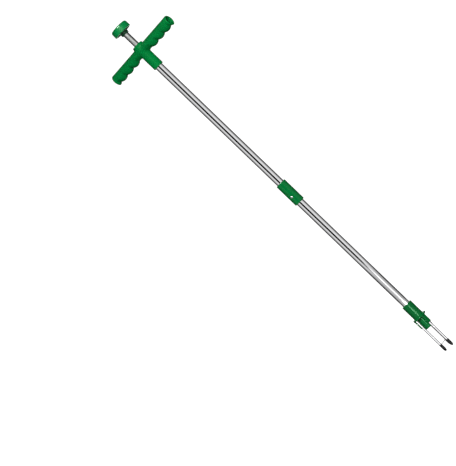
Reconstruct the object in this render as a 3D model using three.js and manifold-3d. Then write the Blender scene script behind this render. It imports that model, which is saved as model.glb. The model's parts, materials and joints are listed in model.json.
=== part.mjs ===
// Stand-up weed puller: a green T-handle on a two-piece steel shaft, three steel tines in a moulded
// head, and a spring-returned plunger that pushes the pulled weed off the tines.
//
// Millimetres, +Z up along the shaft, tine tips at z = 0, handle arms along X, finger lobes below
// the arms, front towards -Y.
import * as THREE from "three";
import { mergeVertices } from "three/addons/utils/BufferGeometryUtils.js";
import Module from "manifold-3d";

const wasm = await Module();
wasm.setup();

// ---------------------------------------------------------------------------------------------
// Driving dimensions
// ---------------------------------------------------------------------------------------------
const GAP = 0.3; // between two pieces that touch, or a pin and its hole
const SLIDE = 0.3; // radial clearance of what slides
const SIDES = 32; // facets round a shaft-sized cylinder
const SMALL_SIDES = 16; // facets round a wire, pin or tine
const THROUGH = 2; // how far a cutter runs past what it cuts

const STROKE = 27; // travel of the plunger
const STROKE_SPARE = 1.4; // left between the collar and the hub when the knob is down

// Shaft
const TUBE_OD = 16;
const TUBE_WALL = 1;
const SHAFT_LENGTH = 706.3; // from the head's shoulder to the top of the upper tube
const LOWER_TUBE_LENGTH = 337;

// T-handle
const ARM_SPAN = 168;
const ARM_D = 23.3;
const ARM_MOUTH_WALL = 3.85; // round the wide mouth at each end
const ARM_MOUTH_DEPTH = 4;
const ARM_VALLEY_WALL = 1.45; // between the arm's bore and the bottom of a valley
const ARM_SOLID = 15.2; // plastic between the hub and the end of the arm's bore
const LOBE_PITCH = 19.3;
const LOBE_DEPTH = 4;
const LOBES = 4; // per arm, the last one being the end rim
const END_LOBE_OVERHANG = 3.4; // the last lobe's middle lies this far outside the arm's end
const HUB_WALL = 2.5;
const HUB_LIP = 0.4; // how far the collar at the hub's top stands out
const HUB_LIP_HEIGHT = 4;
const HUB_ABOVE_AXIS = 15.6;
const HUB_BELOW_AXIS = 41.3;
const HUB_ROOF = 2.5; // plastic over the guide bush
const BUSH_LENGTH = 15.6;
const CHAMFER = 0.8;

// Knob and plunger
const PLUNGER_ANNULUS = 1.2; // free space round the plunger inside the upper tube
const PLUNGER_WALL = 1;
const KNOB_RIM_D = 37.5;
const KNOB_TOP_D = 36.4;
const KNOB_HEIGHT = 14.9;
const KNOB_FLARE = 6.5; // height of the flare at its rim
const KNOB_DOME = 1.6;
const KNOB_FLAT_D = 14; // the flat in the middle of the dome
const KNOB_EDGE = 3.6; // radius of the rounded edge
const KNOB_WALL = 3;
const KNOB_BOSS_WALL = 1.9;
const KNOB_SEAT_DEPTH = 9; // how far the plunger tube goes up into the knob
const COLLAR_WALL = 1.7; // at its foot
const COLLAR_FLARE = 0.55; // how much wider each side is at its top
const COLLAR_HEIGHT = 6.4;
const END_FLANGE = 6; // thickness of the plunger end's guide flange
const END_SPIGOT = 14; // how far the plunger end goes up into the plunger tube
const END_STUB_CLEARANCE = 1.1; // between the stub and the inside of the spring
const END_STUB_LENGTH = 10;
const PIN_D = 2;

// Push rod
const ROD_D = 5;
const ROD_COUPLER_D = 9;
const ROD_COUPLER_LENGTH = 30;
const ROD_COUPLER_RISE = 20; // above the meeting place of the two tubes
const LOCKNUT_FLATS = 8;
const LOCKNUT_HEIGHT = 4;

// Return spring
const SPRING_ANNULUS = 0.8; // between the spring and the tube round it
const SPRING_WIRE = 1.1;
const SPRING_LENGTH = 78;
const SPRING_TURNS = 11;
const SEAT_HEIGHT = 6;

// Coupling
const SLEEVE_WALL = 2.4;
const SLEEVE_LENGTH = 50.6;
const SLEEVE_RISE = 17.3; // how far it covers the upper tube
const SLEEVE_RIB = 1.6; // the inner rib that the two tubes stop at
const BUTTON_D = 4.6;
const BUTTON_PROUD = 0.5;
const BUTTON_DOME = 1; // height of its domed end
const BUTTON_DOME_STEP = 0.3; // from the dome's top to its shoulder
const BUTTON_SHOULDER_D = 3.45;
const BUTTON_FOOT = 0.6; // thickness of the foot inside the tube
const BUTTON_FOOT_LIP = 0.5; // how far the foot stands out round the stem
const BUTTON_SEAT = 0.7; // from the tube's bore to the flat of the foot
const BUTTON_BELOW_SPLIT = 15.8;
const LEAF_THICKNESS = 0.4;
const LEAF_ABOVE_BUTTON = 4;
const LEAF_LENGTH = 34;
const LEAF_BACK_SHORTER = 10; // how much shorter the back arm is than the front

// Head
const BARREL_WALL = 2.55;
const BARREL_HEIGHT = 32.2;
const FLANGE_THICKNESS = 3.7;
const HEAD_WEB = 1.2; // of the flange over the core's chamber
const HEAD_SHOULDER = 1.4; // the step over the flange that the lower tube stands on
const FLANGE_HEIGHT = 78.3; // of its underside above the tips
const RAIL_WIDTH = 8;
const RAIL_THICKNESS = 1.9;
const RAIL_DROP = 17.5;
const RAIL_BACK = 1.25; // from the outside of a tine to the outside of its rail
const RAIL_INSET = 0.8; // of the rail's outside from the flange's rim
const ROD_GUIDE_HEIGHT = 10;

// Tines
const TINES = 3;
const TINE_D = 4.9;
const TINE_CIRCLE_D = 20.8;
const FIRST_TINE_ANGLE = 90;
const TIP_D = 5.9;
const TIP_LENGTH = 15.8;
const TIP_POINT_D = 3.2; // the blunt end of the tip
const TIP_NOSE = 5.4; // the tapered part of the tip
const TINE_SPIGOT_D = 3.4; // the tine's turned-down end inside its tip
const TINE_SPIGOT_LENGTH = 9;
const WIRE_D = 1.1;
const WIRE_BELOW_TIP_TOP = 1.3;

// Ejector
const CORE_ENGAGEMENT = 0.85; // how far the core reaches out past the inside of the tines
const CORE_BELOW_RAIL = 7.2;
const CORE_FOOT_CHAMFER = 1.2;
const CORE_ROD_DEPTH = 15;

// Fasteners
const SCREW_RISE = 12; // of the handle screw above the hub's foot
const SLEEVE_RIVET_DROP = 8; // of the sleeve's rivet below its top
const HEAD_RIVET_DROP = 13; // of the head's rivet below its top
const RIVET_SHANK_D = 3.2;
const RIVET_HEAD_D = 6.4;
const RIVET_HEAD_HEIGHT = 1.2;
const RIVET_RIM = 0.48; // height of the upright rim of its head
const RIVET_CROWN_D = 4.27;
const RIVET_CROWN_HEIGHT = 1.02;
const RIVET_TAIL = 0.15; // how far its tail is short of the bore of the tube

// ---------------------------------------------------------------------------------------------
// Sizes and heights worked out from them
// ---------------------------------------------------------------------------------------------
const tubeR = TUBE_OD / 2;
const tubeBoreR = tubeR - TUBE_WALL;
const insertR = tubeBoreR - GAP; // of what is fixed inside a tube
const socketR = tubeR + GAP; // of what a tube is fixed in
const hubR = socketR + HUB_WALL;
const sleeveR = socketR + SLEEVE_WALL;
const barrelR = socketR + BARREL_WALL;
const armR = ARM_D / 2;
const halfSpan = ARM_SPAN / 2;
const plungerR = tubeBoreR - PLUNGER_ANNULUS;
const plungerBoreR = plungerR - PLUNGER_WALL;
const plungerFitR = plungerR + GAP;
const springR = tubeBoreR - SPRING_ANNULUS;
const stubR = springR - SPRING_WIRE - END_STUB_CLEARANCE;
const rodR = ROD_D / 2;
const rodFitR = rodR + GAP;
const rodHoleR = rodR + SLIDE;
const tineCircleR = TINE_CIRCLE_D / 2;
const tineR = TINE_D / 2;
const tipR = TIP_D / 2;
const railOutside = tineCircleR + tineR + RAIL_BACK;
const flangeR = railOutside + RAIL_INSET;
const coreR = tineCircleR - tineR + CORE_ENGAGEMENT;

const flangeTop = FLANGE_HEIGHT + FLANGE_THICKNESS;
const railBottom = FLANGE_HEIGHT - RAIL_DROP;
const headShoulder = flangeTop + HEAD_SHOULDER;
const barrelTop = flangeTop + BARREL_HEIGHT;
const lowerTubeBottom = headShoulder + GAP;
const split = lowerTubeBottom + LOWER_TUBE_LENGTH + SLEEVE_RIB / 2 + GAP;
const upperTubeBottom = split + SLEEVE_RIB / 2 + GAP;
const tubeTop = headShoulder + SHAFT_LENGTH;
const bushBottom = tubeTop + GAP;
const bushTop = bushBottom + BUSH_LENGTH;
const hubTop = bushTop + GAP + HUB_ROOF;
const armAxis = hubTop - HUB_ABOVE_AXIS;
const hubBottom = armAxis - HUB_BELOW_AXIS;
const screwHeight = hubBottom + SCREW_RISE;
const collarBottom = hubTop + STROKE + STROKE_SPARE;
const knobBottom = collarBottom + COLLAR_HEIGHT;
const knobTop = knobBottom + KNOB_HEIGHT;
const plungerTop = knobBottom + KNOB_SEAT_DEPTH;
const endTop = bushBottom - GAP;
const endFlangeBottom = endTop - END_FLANGE;
const plungerBottom = endTop + GAP;
const pinHeight = plungerBottom + END_SPIGOT / 2;
const springTop = endFlangeBottom - GAP;
const springBottom = springTop - SPRING_LENGTH;
const seatTop = springBottom - GAP;
const sleeveTop = split + SLEEVE_RISE;
const sleeveBottom = sleeveTop - SLEEVE_LENGTH;
const sleeveRivetHeight = sleeveTop - SLEEVE_RIVET_DROP;
const buttonHeight = split - BUTTON_BELOW_SPLIT;
const buttonFootFace = tubeBoreR - BUTTON_SEAT;
const leafFace = buttonFootFace - BUTTON_FOOT - GAP;
const couplerBottom = split + ROD_COUPLER_RISE;
const couplerTop = couplerBottom + ROD_COUPLER_LENGTH;
const couplerMiddle = (couplerBottom + couplerTop) / 2;
const coreBottom = railBottom - CORE_BELOW_RAIL;
const coreTop = FLANGE_HEIGHT - GAP;
const locknutBottom = coreTop + GAP;
const rodBottom = coreTop - CORE_ROD_DEPTH;
const headRivetHeight = barrelTop - HEAD_RIVET_DROP;

// ---------------------------------------------------------------------------------------------
// Solids
// ---------------------------------------------------------------------------------------------

/** A manifold solid from a closed three.js geometry. */
function solid(geometry) {
  const bare = geometry.clone();
  bare.deleteAttribute("normal");
  bare.deleteAttribute("uv");
  const merged = mergeVertices(bare, 1e-4);
  const index = merged.index.array;
  const kept = [];
  for (let i = 0; i < index.length; i += 3) {
    const [a, b, c] = [index[i], index[i + 1], index[i + 2]];
    if (a !== b && b !== c && c !== a) kept.push(a, b, c);
  }
  return new wasm.Manifold(
    new wasm.Mesh({
      numProp: 3,
      vertProperties: new Float32Array(merged.attributes.position.array),
      triVerts: new Uint32Array(kept),
    }),
  );
}

/** A three.js geometry from a manifold solid. */
function geometryOf(body) {
  const mesh = body.getMesh();
  const geometry = new THREE.BufferGeometry();
  geometry.setAttribute("position", new THREE.BufferAttribute(mesh.vertProperties, 3));
  geometry.setIndex(new THREE.BufferAttribute(mesh.triVerts, 1));
  return geometry;
}

/** Twice the signed area of an outline of [across, up] points. */
function doubleArea(outline) {
  return outline.reduce((sum, [x, y], i) => {
    const [nextX, nextY] = outline[(i + 1) % outline.length];
    return sum + x * nextY - nextX * y;
  }, 0);
}

/** A body of revolution about Z, from a closed outline of [radius, height] points. */
function turned(outline, sides = SIDES) {
  const ordered = doubleArea(outline) > 0 ? outline : [...outline].reverse();
  const points = [...ordered, ordered[0]].map(([r, z]) => new THREE.Vector2(r, z));
  return solid(new THREE.LatheGeometry(points, sides).rotateX(Math.PI / 2));
}

/** A plain rod about Z, or a tube if it has a bore. */
function rod(radius, bottom, top, sides = SIDES, bore = 0) {
  return turned([[bore, bottom], [radius, bottom], [radius, top], [bore, top]], sides);
}

/** A rod along the direction, from one distance to another from the point. */
function rodAlong(point, direction, from, to, radius, sides = SMALL_SIDES) {
  const length = to - from;
  const geometry = new THREE.CylinderGeometry(radius, radius, length, sides);
  geometry.translate(0, from + length / 2, 0);
  const up = new THREE.Vector3(0, 1, 0);
  const turn = new THREE.Quaternion().setFromUnitVectors(up, new THREE.Vector3(...direction));
  geometry.applyQuaternion(turn);
  geometry.translate(...point);
  return solid(geometry);
}

/** A box from its lowest and highest corners. */
function block(low, high) {
  const size = high.map((value, i) => value - low[i]);
  const geometry = new THREE.BoxGeometry(...size);
  geometry.translate(...low.map((value, i) => value + size[i] / 2));
  return solid(geometry);
}

/** A solid turned about Z by an angle in degrees. */
function spun(body, degrees) {
  return body.rotate([0, 0, degrees]);
}

const weeder = new THREE.Group();

const FINISHES = {
  greenPlastic: { color: 0x008a3c, roughness: 0.35, metalness: 0 },
  darkPlastic: { color: 0x0c3d20, roughness: 0.4, metalness: 0 },
  blackPlastic: { color: 0x15171a, roughness: 0.3, metalness: 0 },
  whitePlastic: { color: 0xd8dad6, roughness: 0.5, metalness: 0 },
  stainless: { color: 0xc4c6c8, roughness: 0.18, metalness: 1 },
  zincSteel: { color: 0xa4a8ac, roughness: 0.35, metalness: 1 },
};

/** Puts a solid in the model as a named sub-part with a finish of its own. */
function place(name, body, finish) {
  const mesh = new THREE.Mesh(geometryOf(body), new THREE.MeshStandardMaterial(FINISHES[finish]));
  mesh.name = name;
  weeder.add(mesh);
}

// ---------------------------------------------------------------------------------------------
// T-handle
// ---------------------------------------------------------------------------------------------

/** Outline of one side of the grip: flat above, and finger lobes below, as [x, z] points. */
function gripOutline() {
  const halfPitch = LOBE_PITCH / 2;
  const lobeR = (halfPitch ** 2 + LOBE_DEPTH ** 2) / (2 * LOBE_DEPTH);
  const steps = 8;
  const points = [];
  const lastMiddle = halfSpan + END_LOBE_OVERHANG;
  for (let lobe = LOBES - 1; lobe >= 0; lobe -= 1) {
    const middle = lastMiddle - lobe * LOBE_PITCH;
    for (let step = 0; step < steps; step += 1) {
      const x = middle - halfPitch + (LOBE_PITCH * step) / steps;
      const drop = lobeR - Math.sqrt(lobeR ** 2 - (x - middle) ** 2);
      if (x < halfSpan) points.push([x, armAxis - armR + drop]);
    }
  }
  const endDrop = lobeR - Math.sqrt(lobeR ** 2 - (lastMiddle - halfSpan) ** 2);
  points.push([halfSpan, armAxis - armR + endDrop]);
  const firstValley = points[0][0];
  const inner = [[0, armAxis - armR + LOBE_DEPTH], [firstValley, armAxis - armR + LOBE_DEPTH]];
  return [...inner, ...points.slice(1), [halfSpan, armAxis + armR], [0, armAxis + armR]];
}

/** One arm of the grip, on the +X side. */
function gripArm() {
  const shape = new THREE.Shape(gripOutline().map(([x, z]) => new THREE.Vector2(x, z)));
  const slab = new THREE.ExtrudeGeometry(shape, { depth: ARM_D + THROUGH, bevelEnabled: false });
  slab.translate(0, 0, -(ARM_D + THROUGH) / 2);
  slab.rotateX(Math.PI / 2);
  const barrel = rodAlong([0, 0, armAxis], [1, 0, 0], -THROUGH, halfSpan, armR, SIDES);
  return solid(slab).intersect(barrel);
}

/** The hub column with its collar, before it is bored. */
function hubColumn() {
  const lipR = hubR + HUB_LIP;
  return turned([
    [0, hubBottom],
    [hubR - CHAMFER, hubBottom],
    [hubR, hubBottom + CHAMFER],
    [hubR, hubTop - HUB_LIP_HEIGHT],
    [lipR, hubTop - HUB_LIP_HEIGHT],
    [lipR, hubTop - CHAMFER],
    [lipR - CHAMFER, hubTop],
    [0, hubTop],
  ]);
}

function tHandle() {
  const arm = gripArm();
  const mouthR = armR - ARM_MOUTH_WALL;
  const boreR = armR - LOBE_DEPTH - ARM_VALLEY_WALL;
  const boreDepth = halfSpan - hubR - ARM_SOLID;
  let body = hubColumn().add(arm).add(spun(arm, 180));
  for (const side of [-1, 1]) {
    const end = [side * halfSpan, 0, armAxis];
    const inwards = [-side, 0, 0];
    const mouth = rodAlong(end, inwards, -THROUGH, ARM_MOUTH_DEPTH, mouthR, SIDES);
    const bore = rodAlong(end, inwards, -THROUGH, boreDepth, boreR, SIDES);
    body = body.subtract(mouth).subtract(bore);
  }
  const socket = rod(socketR, hubBottom - THROUGH, bushTop + GAP);
  const mouthOfPlunger = rod(plungerR + SLIDE, bushTop, hubTop + THROUGH);
  return body.subtract(socket).subtract(mouthOfPlunger).subtract(rivetHole(screwHeight));
}

place("t_handle", tHandle(), "greenPlastic");
place("guide_bush", rod(tubeR, bushBottom, bushTop, SIDES, plungerR + SLIDE), "whitePlastic");

// ---------------------------------------------------------------------------------------------
// Shaft
// ---------------------------------------------------------------------------------------------

/** A blind rivet or short screw from the back, through a wall of the given radius and the tube. */
function rivet(wallR, height) {
  const tail = tubeBoreR + RIVET_TAIL;
  const seat = wallR + GAP;
  const shank = rodAlong([0, 0, height], [0, 1, 0], tail, seat + RIVET_RIM, RIVET_SHANK_D / 2);
  const rise = [
    [0, 0],
    [RIVET_HEAD_D / 2, 0],
    [RIVET_HEAD_D / 2, RIVET_RIM],
    [RIVET_CROWN_D / 2, RIVET_CROWN_HEIGHT],
    [0, RIVET_HEAD_HEIGHT],
  ];
  const head = turned(rise, SMALL_SIDES).rotate([-90, 0, 0]).translate([0, seat, height]);
  return shank.add(head);
}

/** The hole that a rivet at a height needs, from the axis out to the back. */
function rivetHole(height) {
  return rodAlong([0, 0, height], [0, 1, 0], 0, hubR + armR, RIVET_SHANK_D / 2 + GAP);
}

const buttonHoleR = BUTTON_D / 2 + SLIDE;
const buttonHole = rodAlong([0, 0, buttonHeight], [0, -1, 0], 0, sleeveR + THROUGH, buttonHoleR);

const upperTube = rod(tubeR, upperTubeBottom, tubeTop, SIDES, tubeBoreR)
  .subtract(rivetHole(screwHeight))
  .subtract(rivetHole(sleeveRivetHeight));
place("upper_tube", upperTube, "stainless");

const lowerTube = rod(tubeR, lowerTubeBottom, split - SLEEVE_RIB / 2 - GAP, SIDES, tubeBoreR)
  .subtract(rivetHole(headRivetHeight))
  .subtract(buttonHole);
place("lower_tube", lowerTube, "stainless");

place("handle_screw", rivet(hubR, screwHeight), "zincSteel");

// ---------------------------------------------------------------------------------------------
// Coupling between the two tubes
// ---------------------------------------------------------------------------------------------

function couplingSleeve() {
  const body = turned([
    [socketR, sleeveBottom],
    [sleeveR - CHAMFER, sleeveBottom],
    [sleeveR, sleeveBottom + CHAMFER],
    [sleeveR, sleeveTop - CHAMFER],
    [sleeveR - CHAMFER, sleeveTop],
    [socketR, sleeveTop],
    [socketR, split + SLEEVE_RIB / 2],
    [tubeBoreR, split + SLEEVE_RIB / 2],
    [tubeBoreR, split - SLEEVE_RIB / 2],
    [socketR, split - SLEEVE_RIB / 2],
  ]);
  return body.subtract(buttonHole).subtract(rivetHole(sleeveRivetHeight));
}

place("coupling_sleeve", couplingSleeve(), "greenPlastic");
place("coupling_rivet", rivet(sleeveR, sleeveRivetHeight), "zincSteel");

/** The button: a domed stem through tube and sleeve, with a wider foot inside the tube. */
function snapButton() {
  const stemR = BUTTON_D / 2;
  const outside = sleeveR + BUTTON_PROUD;
  const footR = stemR + BUTTON_FOOT_LIP;
  const outline = [
    [0, buttonFootFace - BUTTON_FOOT],
    [footR, buttonFootFace - BUTTON_FOOT],
    [footR, buttonFootFace],
    [stemR, buttonFootFace],
    [stemR, outside - BUTTON_DOME],
    [BUTTON_SHOULDER_D / 2, outside - BUTTON_DOME_STEP],
    [0, outside],
  ];
  return turned(outline, SMALL_SIDES).rotate([90, 0, 0]).translate([0, 0, buttonHeight]);
}

/** The folded leaf behind the button: a front arm, a bend and a back arm on the tube's far wall. */
function snapSpring() {
  const half = Math.sqrt(insertR ** 2 - leafFace ** 2);
  const top = buttonHeight + LEAF_ABOVE_BUTTON;
  const bottom = top - LEAF_LENGTH;
  const frontInside = -leafFace + LEAF_THICKNESS;
  const backInside = leafFace - LEAF_THICKNESS;
  const front = block([-half, -leafFace, bottom], [half, frontInside, top]);
  const back = block([-half, backInside, bottom], [half, leafFace, top - LEAF_BACK_SHORTER]);
  const bend = block([-half, -leafFace, bottom - LEAF_THICKNESS], [half, leafFace, bottom]);
  const passage = rod(rodHoleR + SLIDE, bottom - THROUGH, bottom + THROUGH, SMALL_SIDES);
  return front.add(back).add(bend).subtract(passage);
}

place("snap_button", snapButton(), "zincSteel");
place("snap_spring", snapSpring(), "zincSteel");

// ---------------------------------------------------------------------------------------------
// Knob, plunger and push rod
// ---------------------------------------------------------------------------------------------

function knobCap() {
  const rimR = KNOB_RIM_D / 2;
  const topR = KNOB_TOP_D / 2;
  const shoulder = knobTop - KNOB_DOME;
  const outer = [
    [rimR - KNOB_WALL, knobBottom],
    [rimR, knobBottom],
    [topR, knobBottom + KNOB_FLARE],
  ];
  const steps = 4;
  for (let step = 0; step <= steps; step += 1) {
    const angle = (step / steps) * (Math.PI / 2);
    const r = topR - KNOB_EDGE + KNOB_EDGE * Math.cos(angle);
    outer.push([r, shoulder - KNOB_EDGE + KNOB_EDGE * Math.sin(angle)]);
  }
  outer.push([KNOB_FLAT_D / 2, knobTop], [0, knobTop]);
  const roof = plungerTop + GAP;
  const bossR = plungerFitR + KNOB_BOSS_WALL;
  const inner = [
    [0, roof],
    [plungerFitR, roof],
    [plungerFitR, knobBottom + GAP],
    [bossR, knobBottom + GAP],
    [bossR, roof],
    [topR - KNOB_WALL, roof],
  ];
  return turned([...outer, ...inner]);
}

place("knob_cap", knobCap(), "greenPlastic");

const collarR = plungerFitR + COLLAR_WALL;
const collar = turned([
  [plungerFitR, collarBottom],
  [collarR, collarBottom],
  [collarR + COLLAR_FLARE, knobBottom],
  [plungerFitR, knobBottom],
]);
place("knob_collar", collar, "darkPlastic");

const pinHole = rodAlong([0, 0, pinHeight], [1, 0, 0], -TUBE_OD, TUBE_OD, PIN_D / 2 + GAP);
const plunger = rod(plungerR, plungerBottom, plungerTop, SIDES, plungerBoreR);
place("plunger_tube", plunger.subtract(pinHole), "stainless");

/** The plug in the foot of the plunger tube: spigot, guide flange and a stub inside the spring. */
function plungerEnd() {
  const spigotR = plungerBoreR - GAP;
  const body = turned([
    [0, endFlangeBottom - END_STUB_LENGTH],
    [stubR, endFlangeBottom - END_STUB_LENGTH],
    [stubR, endFlangeBottom],
    [tubeBoreR - SLIDE, endFlangeBottom],
    [tubeBoreR - SLIDE, endTop],
    [spigotR, endTop],
    [spigotR, plungerBottom + END_SPIGOT],
    [0, plungerBottom + END_SPIGOT],
  ]);
  const rodSocket = rod(rodFitR, endFlangeBottom - END_STUB_LENGTH - THROUGH, endFlangeBottom);
  return body.subtract(pinHole).subtract(rodSocket);
}

place("plunger_end", plungerEnd(), "whitePlastic");

const pinReach = plungerR - GAP;
const pin = rodAlong([0, 0, pinHeight], [1, 0, 0], -pinReach, pinReach, PIN_D / 2);
place("plunger_pin", pin, "zincSteel");

const upperRod = rod(rodR, couplerMiddle + GAP, endFlangeBottom - GAP, SMALL_SIDES);
place("push_rod_upper", upperRod, "zincSteel");
place("push_rod_lower", rod(rodR, rodBottom, couplerMiddle, SMALL_SIDES), "zincSteel");
const coupler = rod(ROD_COUPLER_D / 2, couplerBottom, couplerTop, SMALL_SIDES, rodFitR);
place("rod_coupler", coupler, "zincSteel");

const nutR = LOCKNUT_FLATS / Math.sqrt(3);
const nut = rod(nutR, locknutBottom, locknutBottom + LOCKNUT_HEIGHT, 6);
const nutBore = rod(rodFitR, locknutBottom - THROUGH, barrelTop, SMALL_SIDES);
place("core_locknut", nut.subtract(nutBore), "zincSteel");

/** The return spring: a helix between the fixed seat and the plunger end. */
class Coil extends THREE.Curve {
  getPoint(t, target = new THREE.Vector3()) {
    const angle = t * SPRING_TURNS * 2 * Math.PI;
    const radius = springR - SPRING_WIRE / 2;
    const from = springBottom + SPRING_WIRE / 2;
    const rise = SPRING_LENGTH - SPRING_WIRE;
    return target.set(radius * Math.cos(angle), radius * Math.sin(angle), from + rise * t);
  }
}

function returnSpring() {
  const section = new THREE.Shape();
  section.absarc(0, 0, SPRING_WIRE / 2, 0, Math.PI * 2, false);
  const stepsPerTurn = 10;
  const geometry = new THREE.ExtrudeGeometry(section, {
    steps: SPRING_TURNS * stepsPerTurn,
    curveSegments: 3,
    extrudePath: new Coil(),
  });
  return solid(geometry);
}

place("return_spring", returnSpring(), "zincSteel");

const springSeat = rod(insertR, seatTop - SEAT_HEIGHT, seatTop, SIDES, rodHoleR);
place("spring_seat", springSeat, "whitePlastic");

// ---------------------------------------------------------------------------------------------
// Head, tines and ejector
// ---------------------------------------------------------------------------------------------

const tineAngles = Array.from({ length: TINES }, (_, i) => FIRST_TINE_ANGLE + (i * 360) / TINES);

/** The centre of a tine on plan, at an angle in degrees. */
function tineCentre(degrees) {
  const angle = (degrees * Math.PI) / 180;
  return [tineCircleR * Math.cos(angle), tineCircleR * Math.sin(angle)];
}

/** A rod on a tine's axis. */
function onTine(degrees, radius, bottom, top, sides = SMALL_SIDES) {
  const [x, y] = tineCentre(degrees);
  return rod(radius, bottom, top, sides).translate([x, y, 0]);
}

function headSocket() {
  const chamberR = coreR + SLIDE;
  let body = turned([
    [chamberR, FLANGE_HEIGHT],
    [flangeR - CHAMFER, FLANGE_HEIGHT],
    [flangeR, FLANGE_HEIGHT + CHAMFER],
    [flangeR, flangeTop - CHAMFER],
    [flangeR - CHAMFER, flangeTop],
    [barrelR, flangeTop],
    [barrelR, barrelTop - CHAMFER],
    [barrelR - CHAMFER, barrelTop],
    [socketR, barrelTop],
    [socketR, headShoulder],
    [tubeBoreR, headShoulder],
    [tubeBoreR, flangeTop - HEAD_WEB],
    [chamberR, flangeTop - HEAD_WEB],
  ]);
  for (const angle of tineAngles) {
    const low = [railOutside - RAIL_THICKNESS, -RAIL_WIDTH / 2, railBottom];
    const high = [railOutside, RAIL_WIDTH / 2, FLANGE_HEIGHT + CHAMFER];
    body = body.add(spun(block(low, high), angle));
  }
  const tineTop = flangeTop - CHAMFER;
  for (const angle of tineAngles) {
    body = body.subtract(onTine(angle, tineR + GAP, railBottom - THROUGH, tineTop));
  }
  return body.subtract(rivetHole(headRivetHeight));
}

place("head_socket", headSocket(), "greenPlastic");
place("head_rivet", rivet(barrelR, headRivetHeight), "zincSteel");

const guideBottom = lowerTubeBottom + GAP;
const rodGuide = rod(insertR, guideBottom, guideBottom + ROD_GUIDE_HEIGHT, SIDES, rodHoleR);
place("rod_guide", rodGuide, "whitePlastic");

/** A tine: its stem, and the turned-down end that its tip is fitted on. */
function tine(degrees) {
  const stemBottom = TIP_LENGTH + GAP;
  const stem = onTine(degrees, tineR, stemBottom, flangeTop - CHAMFER - GAP);
  const spigotBottom = stemBottom - TINE_SPIGOT_LENGTH;
  return stem.add(onTine(degrees, TINE_SPIGOT_D / 2, spigotBottom, stemBottom + THROUGH));
}

/** A bullet-shaped tip with a blind bore for the tine's end. */
function tineTip(degrees) {
  const [x, y] = tineCentre(degrees);
  const pointR = TIP_POINT_D / 2;
  const outline = [[0, 0]];
  const steps = 4;
  for (let step = 0; step <= steps; step += 1) {
    const share = step / steps;
    const r = pointR + (tipR - pointR) * Math.sin((share * Math.PI) / 2);
    outline.push([r, TIP_NOSE * share]);
  }
  outline.push([tipR, TIP_LENGTH], [0, TIP_LENGTH]);
  const boreBottom = TIP_LENGTH - TINE_SPIGOT_LENGTH;
  const bore = rod(TINE_SPIGOT_D / 2 + GAP, boreBottom, TIP_LENGTH + THROUGH, SMALL_SIDES);
  return turned(outline, SMALL_SIDES).subtract(bore).translate([x, y, 0]);
}

tineAngles.forEach((angle, i) => {
  place(`tine_${i + 1}`, tine(angle), "stainless");
  place(`tine_tip_${i + 1}`, tineTip(angle), "blackPlastic");
});

/** The thin wire between the first two tips. */
function tipWire() {
  const [fromX, fromY] = tineCentre(tineAngles[0]);
  const [toX, toY] = tineCentre(tineAngles[1]);
  const chord = Math.hypot(toX - fromX, toY - fromY);
  const direction = [(toX - fromX) / chord, (toY - fromY) / chord, 0];
  const short = tipR + GAP;
  const height = TIP_LENGTH - WIRE_BELOW_TIP_TOP;
  return rodAlong([fromX, fromY, height], direction, short, chord - short, WIRE_D / 2, 10);
}

place("tip_wire", tipWire(), "zincSteel");

/** The ejector core: a fluted plug on the push rod that slides between the tines. */
function ejectorCore() {
  let body = turned([
    [0, coreBottom],
    [coreR - CORE_FOOT_CHAMFER, coreBottom],
    [coreR, coreBottom + CORE_FOOT_CHAMFER],
    [coreR, coreTop],
    [0, coreTop],
  ]);
  for (const angle of tineAngles) {
    body = body.subtract(onTine(angle, tineR + SLIDE, coreBottom - THROUGH, barrelTop));
  }
  return body.subtract(rod(rodFitR, rodBottom - GAP, barrelTop, SMALL_SIDES));
}

place("ejector_core", ejectorCore(), "greenPlastic");

export default weeder;
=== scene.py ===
"""Looks of a stand-up weed puller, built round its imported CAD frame.

The moulded green pieces, the fasteners and the nut are solids worked out by Geometry Nodes from a distance
rule. The tubes, the knob and the tines are turned from rounded outlines, and the tines, wire and return
spring are Geometry Nodes copies and sweeps. All lengths are metres in the frame of the CAD model: +Z up the
shaft, handle arms along X.
"""
import json
import logging
import math
from dataclasses import dataclass, field
from enum import Enum

import bmesh
import bpy
from mathutils import Matrix, Vector


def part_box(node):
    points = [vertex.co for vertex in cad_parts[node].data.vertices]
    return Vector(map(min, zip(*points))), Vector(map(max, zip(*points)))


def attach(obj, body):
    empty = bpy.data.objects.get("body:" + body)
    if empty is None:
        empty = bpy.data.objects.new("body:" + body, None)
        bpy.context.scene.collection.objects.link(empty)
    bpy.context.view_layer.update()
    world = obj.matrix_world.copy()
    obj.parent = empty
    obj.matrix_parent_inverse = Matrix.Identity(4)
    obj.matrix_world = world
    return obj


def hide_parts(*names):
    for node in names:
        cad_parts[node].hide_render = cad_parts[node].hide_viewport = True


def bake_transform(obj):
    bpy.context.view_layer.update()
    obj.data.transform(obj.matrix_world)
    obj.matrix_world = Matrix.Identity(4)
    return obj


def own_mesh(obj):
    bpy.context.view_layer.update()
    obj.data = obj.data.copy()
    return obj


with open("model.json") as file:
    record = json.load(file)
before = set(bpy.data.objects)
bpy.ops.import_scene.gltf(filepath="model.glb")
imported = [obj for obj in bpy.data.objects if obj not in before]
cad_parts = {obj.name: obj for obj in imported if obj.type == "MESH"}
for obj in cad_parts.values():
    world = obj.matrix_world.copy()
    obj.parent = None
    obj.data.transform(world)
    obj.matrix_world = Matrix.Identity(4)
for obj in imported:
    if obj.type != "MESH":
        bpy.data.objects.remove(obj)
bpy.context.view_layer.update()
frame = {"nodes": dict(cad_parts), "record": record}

LOG = logging.getLogger("weed_puller")
MM = 0.001
Number = "Field | float"


class Body(Enum):
    """The rigid bodies of the CAD model."""

    SHAFT = "shaft"
    PLUNGER = "plunger"
    BUTTON = "button"


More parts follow.
